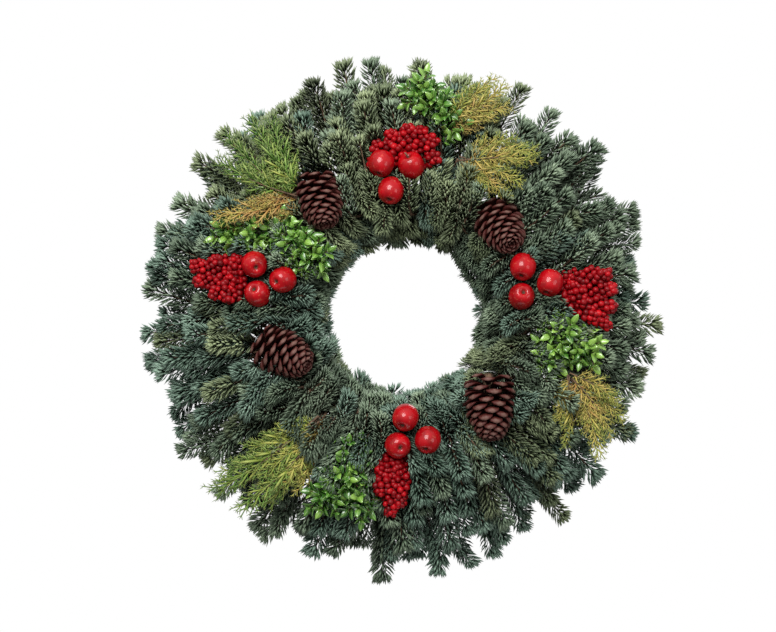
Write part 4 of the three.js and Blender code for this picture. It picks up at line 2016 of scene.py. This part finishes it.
@dataclass(frozen=True)
class Studio:
    """A plain pale room: a small floor well below the wreath, soft lights and the camera in front."""

    lens: float = 85.0
    distance: float = 2.14
    shift_mm: float = -16.0
    drop: float = 1.1

    def lamp(self, name: str, place: Triple, size: float, power: float, target: Array) -> None:
        """Hangs one soft lamp that faces a point.

        Args:
            name: the lamp's name.
            place: where it hangs, from the point.
            size: how wide it is, in metres.
            power: its power, in watts.
            target: the point.
        """
        data = bpy.data.lights.new(name, "AREA")
        data.shape = "DISK"
        data.size = size
        data.energy = power
        lamp = bpy.data.objects.new(name, data)
        lamp.location = Vector(target) + Vector(place)
        lamp.rotation_euler = (-Vector(place)).to_track_quat("-Z", "Y").to_euler()
        bpy.context.scene.collection.objects.link(lamp)

    def floor(self, ring: Ring) -> None:
        """A round of pale floor below the wreath.

        Args:
            ring: the wreath's ring.
        """
        Bench.clear()
        place = (ring.across, 0.0, ring.up - self.drop)
        bpy.ops.mesh.primitive_circle_add(vertices=96, radius=0.6, fill_type="NGON", location=place)
        floor = bpy.context.object
        floor.name = "pale_floor"
        g = Graph("pale_floor")
        cloud = g.noise(6.0, 2.0)
        pale = g.ramp(cloud, [(0.3, (0.86, 0.86, 0.86)), (0.7, (0.9, 0.9, 0.9))])
        floor.data.materials.append(g.surface(pale, Roughness=0.7))

    def backdrop(self) -> None:
        """White surroundings that light the wreath more softly than they look."""
        world = bpy.data.worlds.new("white_room")
        world.use_nodes = True
        tree = world.node_tree
        tree.nodes.clear()
        path = tree.nodes.new("ShaderNodeLightPath")
        seen = tree.nodes.new("ShaderNodeBackground")
        seen.inputs["Color"].default_value = (1, 1, 1, 1)
        seen.inputs["Strength"].default_value = 1.0
        felt = tree.nodes.new("ShaderNodeBackground")
        felt.inputs["Color"].default_value = (0.96, 0.98, 1.0, 1)
        way = tree.nodes.new("ShaderNodeTexCoord")
        parts = tree.nodes.new("ShaderNodeSeparateXYZ")
        tree.links.new(way.outputs["Generated"], parts.inputs[0])
        height = tree.nodes.new("ShaderNodeMapRange")
        for index, value in ((1, -0.5), (2, 0.9), (3, 0.2), (4, 1.1)):
            height.inputs[index].default_value = value
        tree.links.new(parts.outputs["Z"], height.inputs[0])
        tree.links.new(height.outputs[0], felt.inputs["Strength"])
        mix = tree.nodes.new("ShaderNodeMixShader")
        out = tree.nodes.new("ShaderNodeOutputWorld")
        tree.links.new(path.outputs["Is Camera Ray"], mix.inputs[0])
        tree.links.new(felt.outputs[0], mix.inputs[1])
        tree.links.new(seen.outputs[0], mix.inputs[2])
        tree.links.new(mix.outputs[0], out.inputs["Surface"])
        bpy.context.scene.world = world

    def build(self, ring: Ring) -> None:
        """Sets up the floor, the surroundings, the lamps and the camera.

        Args:
            ring: the wreath's ring.
        """
        bpy.context.scene.view_settings.view_transform = "Standard"
        self.floor(ring)
        self.backdrop()
        centre = ring.flat(0, 0, 60)
        self.lamp("key", (-0.45, -1.7, 1.3), 1.3, 68.0, centre)
        self.lamp("fill", (1.5, -1.4, 0.3), 1.0, 9.0, centre)
        self.lamp("back", (0.9, 1.7, 0.8), 1.2, 30.0, centre)
        data = bpy.data.cameras.new("front")
        data.lens = self.lens
        data.sensor_width = 36.0
        camera = bpy.data.objects.new("front", data)
        camera.location = (ring.across + self.shift_mm * MM, -self.distance, ring.up + MM)
        camera.rotation_euler = (math.pi / 2, 0, 0)
        bpy.context.scene.collection.objects.link(camera)
        bpy.context.scene.camera = camera


# ---- The wreath ----

FIR_KINDS = (
    (FirKind.OLIVE, FirKind.BLUE, 0.36), (FirKind.GREY, FirKind.OLIVE, 0.33),
    (FirKind.GREY, FirKind.BLUE, 0.36),
    (FirKind.GREY, FirKind.OLIVE, 0.4), (FirKind.BLUE, FirKind.OLIVE, 0.4),
    (FirKind.BLUE, FirKind.GREY, 0.42),
    (FirKind.GREY, FirKind.BLUE, 0.38), (FirKind.GREY, FirKind.OLIVE, 0.32),
    (FirKind.BLUE, FirKind.OLIVE, 0.42),
    (FirKind.BLUE, FirKind.GREY, 0.38), (FirKind.OLIVE, FirKind.BLUE, 0.34),
    (FirKind.OLIVE, FirKind.GREY, 0.36),
)

FRUIT_PICKS = (
    FruitPick("top", 1, (4, 176),
              ((-33, 192), (-14, 208), (6, 214), (24, 212), (38, 200), (41, 178), (-37, 174)),
              ((0.3, 0.5, 1), (-0.3, -0.6, 0.8), (0.2, 0.6, 0.9))),
    FruitPick("right", 91, (176, 38),
              ((232, 48), (238, 30), (238, 8), (232, -12), (218, -6), (206, 16)),
              ((0.2, 0.6, 0.8), (-0.1, 1, -0.35), (0.4, 0.5, 0.9))),
    FruitPick("bottom", 181, (-6, -156), ((-27, -176), (-27, -198), (-14, -222), (-2, -212), (0, -190)),
              ((0.3, 0.8, 0.7), (-0.2, 1, 0.15), (0.2, 0.7, 0.8))),
    FruitPick("left", 301, (-176, 44),
              ((-236, 58), (-232, 40), (-214, 24), (-196, 18), (-212, 66), (-190, 66)),
              ((-0.2, 0.9, 0.3), (0.3, 1, -0.4), (0.5, 0.8, 0.2))),
)

PINE_CONES = (
    PineCone("upper_left", 331, (0.2, -0.5, -0.84), 27.5, 74),
    PineCone("upper_right", 61, (0.3, -0.72, -0.6), 28.5, 74),
    PineCone("lower_right", 151, (0.05, -0.3, -1.0), 30.5, 84),
    PineCone("lower_left", 241, (0.85, -0.42, -0.4)),
)

CEDAR_SPRAYS = (
    CedarSpray("top", (52, 206), (
        Plume((84, 258), 0.5), Plume((102, 268), 0.66, 108), Plume((118, 256), 0.7),
        Plume((122, 234), 0.75, 102),
        Plume((100, 222), 0.66, 102),
    )),
    CedarSpray("upper_right", (62, 176), (
        Plume((152, 184), 0.6), Plume((146, 168), 0.66, 110), Plume((132, 146), 0.66),
        Plume((116, 126), 0.72, 104),
        Plume((128, 194), 0.56, 104), Plume((92, 142), 0.6, 108),
    )),
    CedarSpray("lower_right", (186, -66), (
        Plume((240, -100), 0.62), Plume((234, -134), 0.7), Plume((216, -158), 0.66),
        Plume((186, -146), 0.6, 102),
        Plume((206, -120), 0.76, 110), Plume((246, -118), 0.66, 96), Plume((172, -118), 0.66, 104),
    )),
    CedarSpray("lower_left", (-94, -114), (
        Plume((-214, -196), 0.34), Plume((-206, -172), 0.38, 100), Plume((-186, -212), 0.38),
        Plume((-150, -214), 0.45),
        Plume((-116, -196), 0.7, 108), Plume((-160, -176), 0.46, 110), Plume((-176, -148), 0.42, 104),
        Plume((-132, -186), 0.66, 112),
    )),
    CedarSpray("upper_left", (-112, 136), (
        Plume((-214, 118), 0.86), Plume((-196, 100), 0.8, 100), Plume((-170, 130), 0.88, 108),
        Plume((-208, 176), 0.2),
        Plume((-196, 206), 0.14), Plume((-166, 226), 0.22, 108), Plume((-144, 226), 0.16, 100),
        Plume((-180, 156), 0.3, 110), Plume((-140, 112), 0.84, 106),
    )),
)

BOXWOOD_SPRIGS = (
    BoxwoodSprig("top", ((40, 236), (22, 250), (48, 218)), 0.5),
    BoxwoodSprig("right", ((180, -18), (204, -36), (168, -44)), 0.66),
    BoxwoodSprig("lower_left", ((-64, -180), (-84, -200), (-46, -204), (-60, -152)), 0.42),
    BoxwoodSprig("left", ((-114, 84), (-98, 66), (-136, 96), (-166, 92), (-194, 94)), 0.56),
)


def build_greenery(ring: Ring) -> None:
    """Makes the fir, the cedar and the boxwood.

    Args:
        ring: the wreath's ring.
    """
    fruits = [room for pick in FRUIT_PICKS for room in pick.rooms(ring)]
    cones = [cone.room() for cone in PINE_CONES]
    rooms = fruits + cones
    stock = FirStock.cut()
    for number, (kind, other, bright) in enumerate(FIR_KINDS, start=1):
        FirBunch(number, ring, kind, other, bright).build(stock, fruits, cones)
    kinds = ((31, 7), (32, 11), (33, 4))
    plumes = [CedarPlume(seed=seed, droop_mm=droop).pattern(stock.rod) for seed, droop in kinds]
    for spray in CEDAR_SPRAYS:
        spray.build(ring, plumes, stock.rod, rooms)
    leaf = BoxwoodLeaf().pattern()
    for sprig in BOXWOOD_SPRIGS:
        sprig.build(ring, leaf, stock.rod, rooms)


def build_trimmings(ring: Ring) -> None:
    """Makes the fruit, the berries and the cones.

    Args:
        ring: the wreath's ring.
    """
    apple, berry, scale, rod = Apple().pattern(), Berry().pattern(), ConeScale().pattern(), Twig().pattern()
    for pick in FRUIT_PICKS:
        pick.build(ring, apple, berry, rod)
    for cone in PINE_CONES:
        cone.build(ring, scale, rod)


def main() -> None:
    """Builds the wreath from the frame outwards, then the studio."""
    logging.basicConfig(level=logging.INFO, format="%(message)s")
    ring = Ring.from_frame()
    WireFrame().build(ring)
    HangingLoop().build(ring)
    BindingWire().build(ring)
    build_greenery(ring)
    build_trimmings(ring)
    Studio().build(ring)
    Bench.clear()


if __name__ == "__main__":
    main()
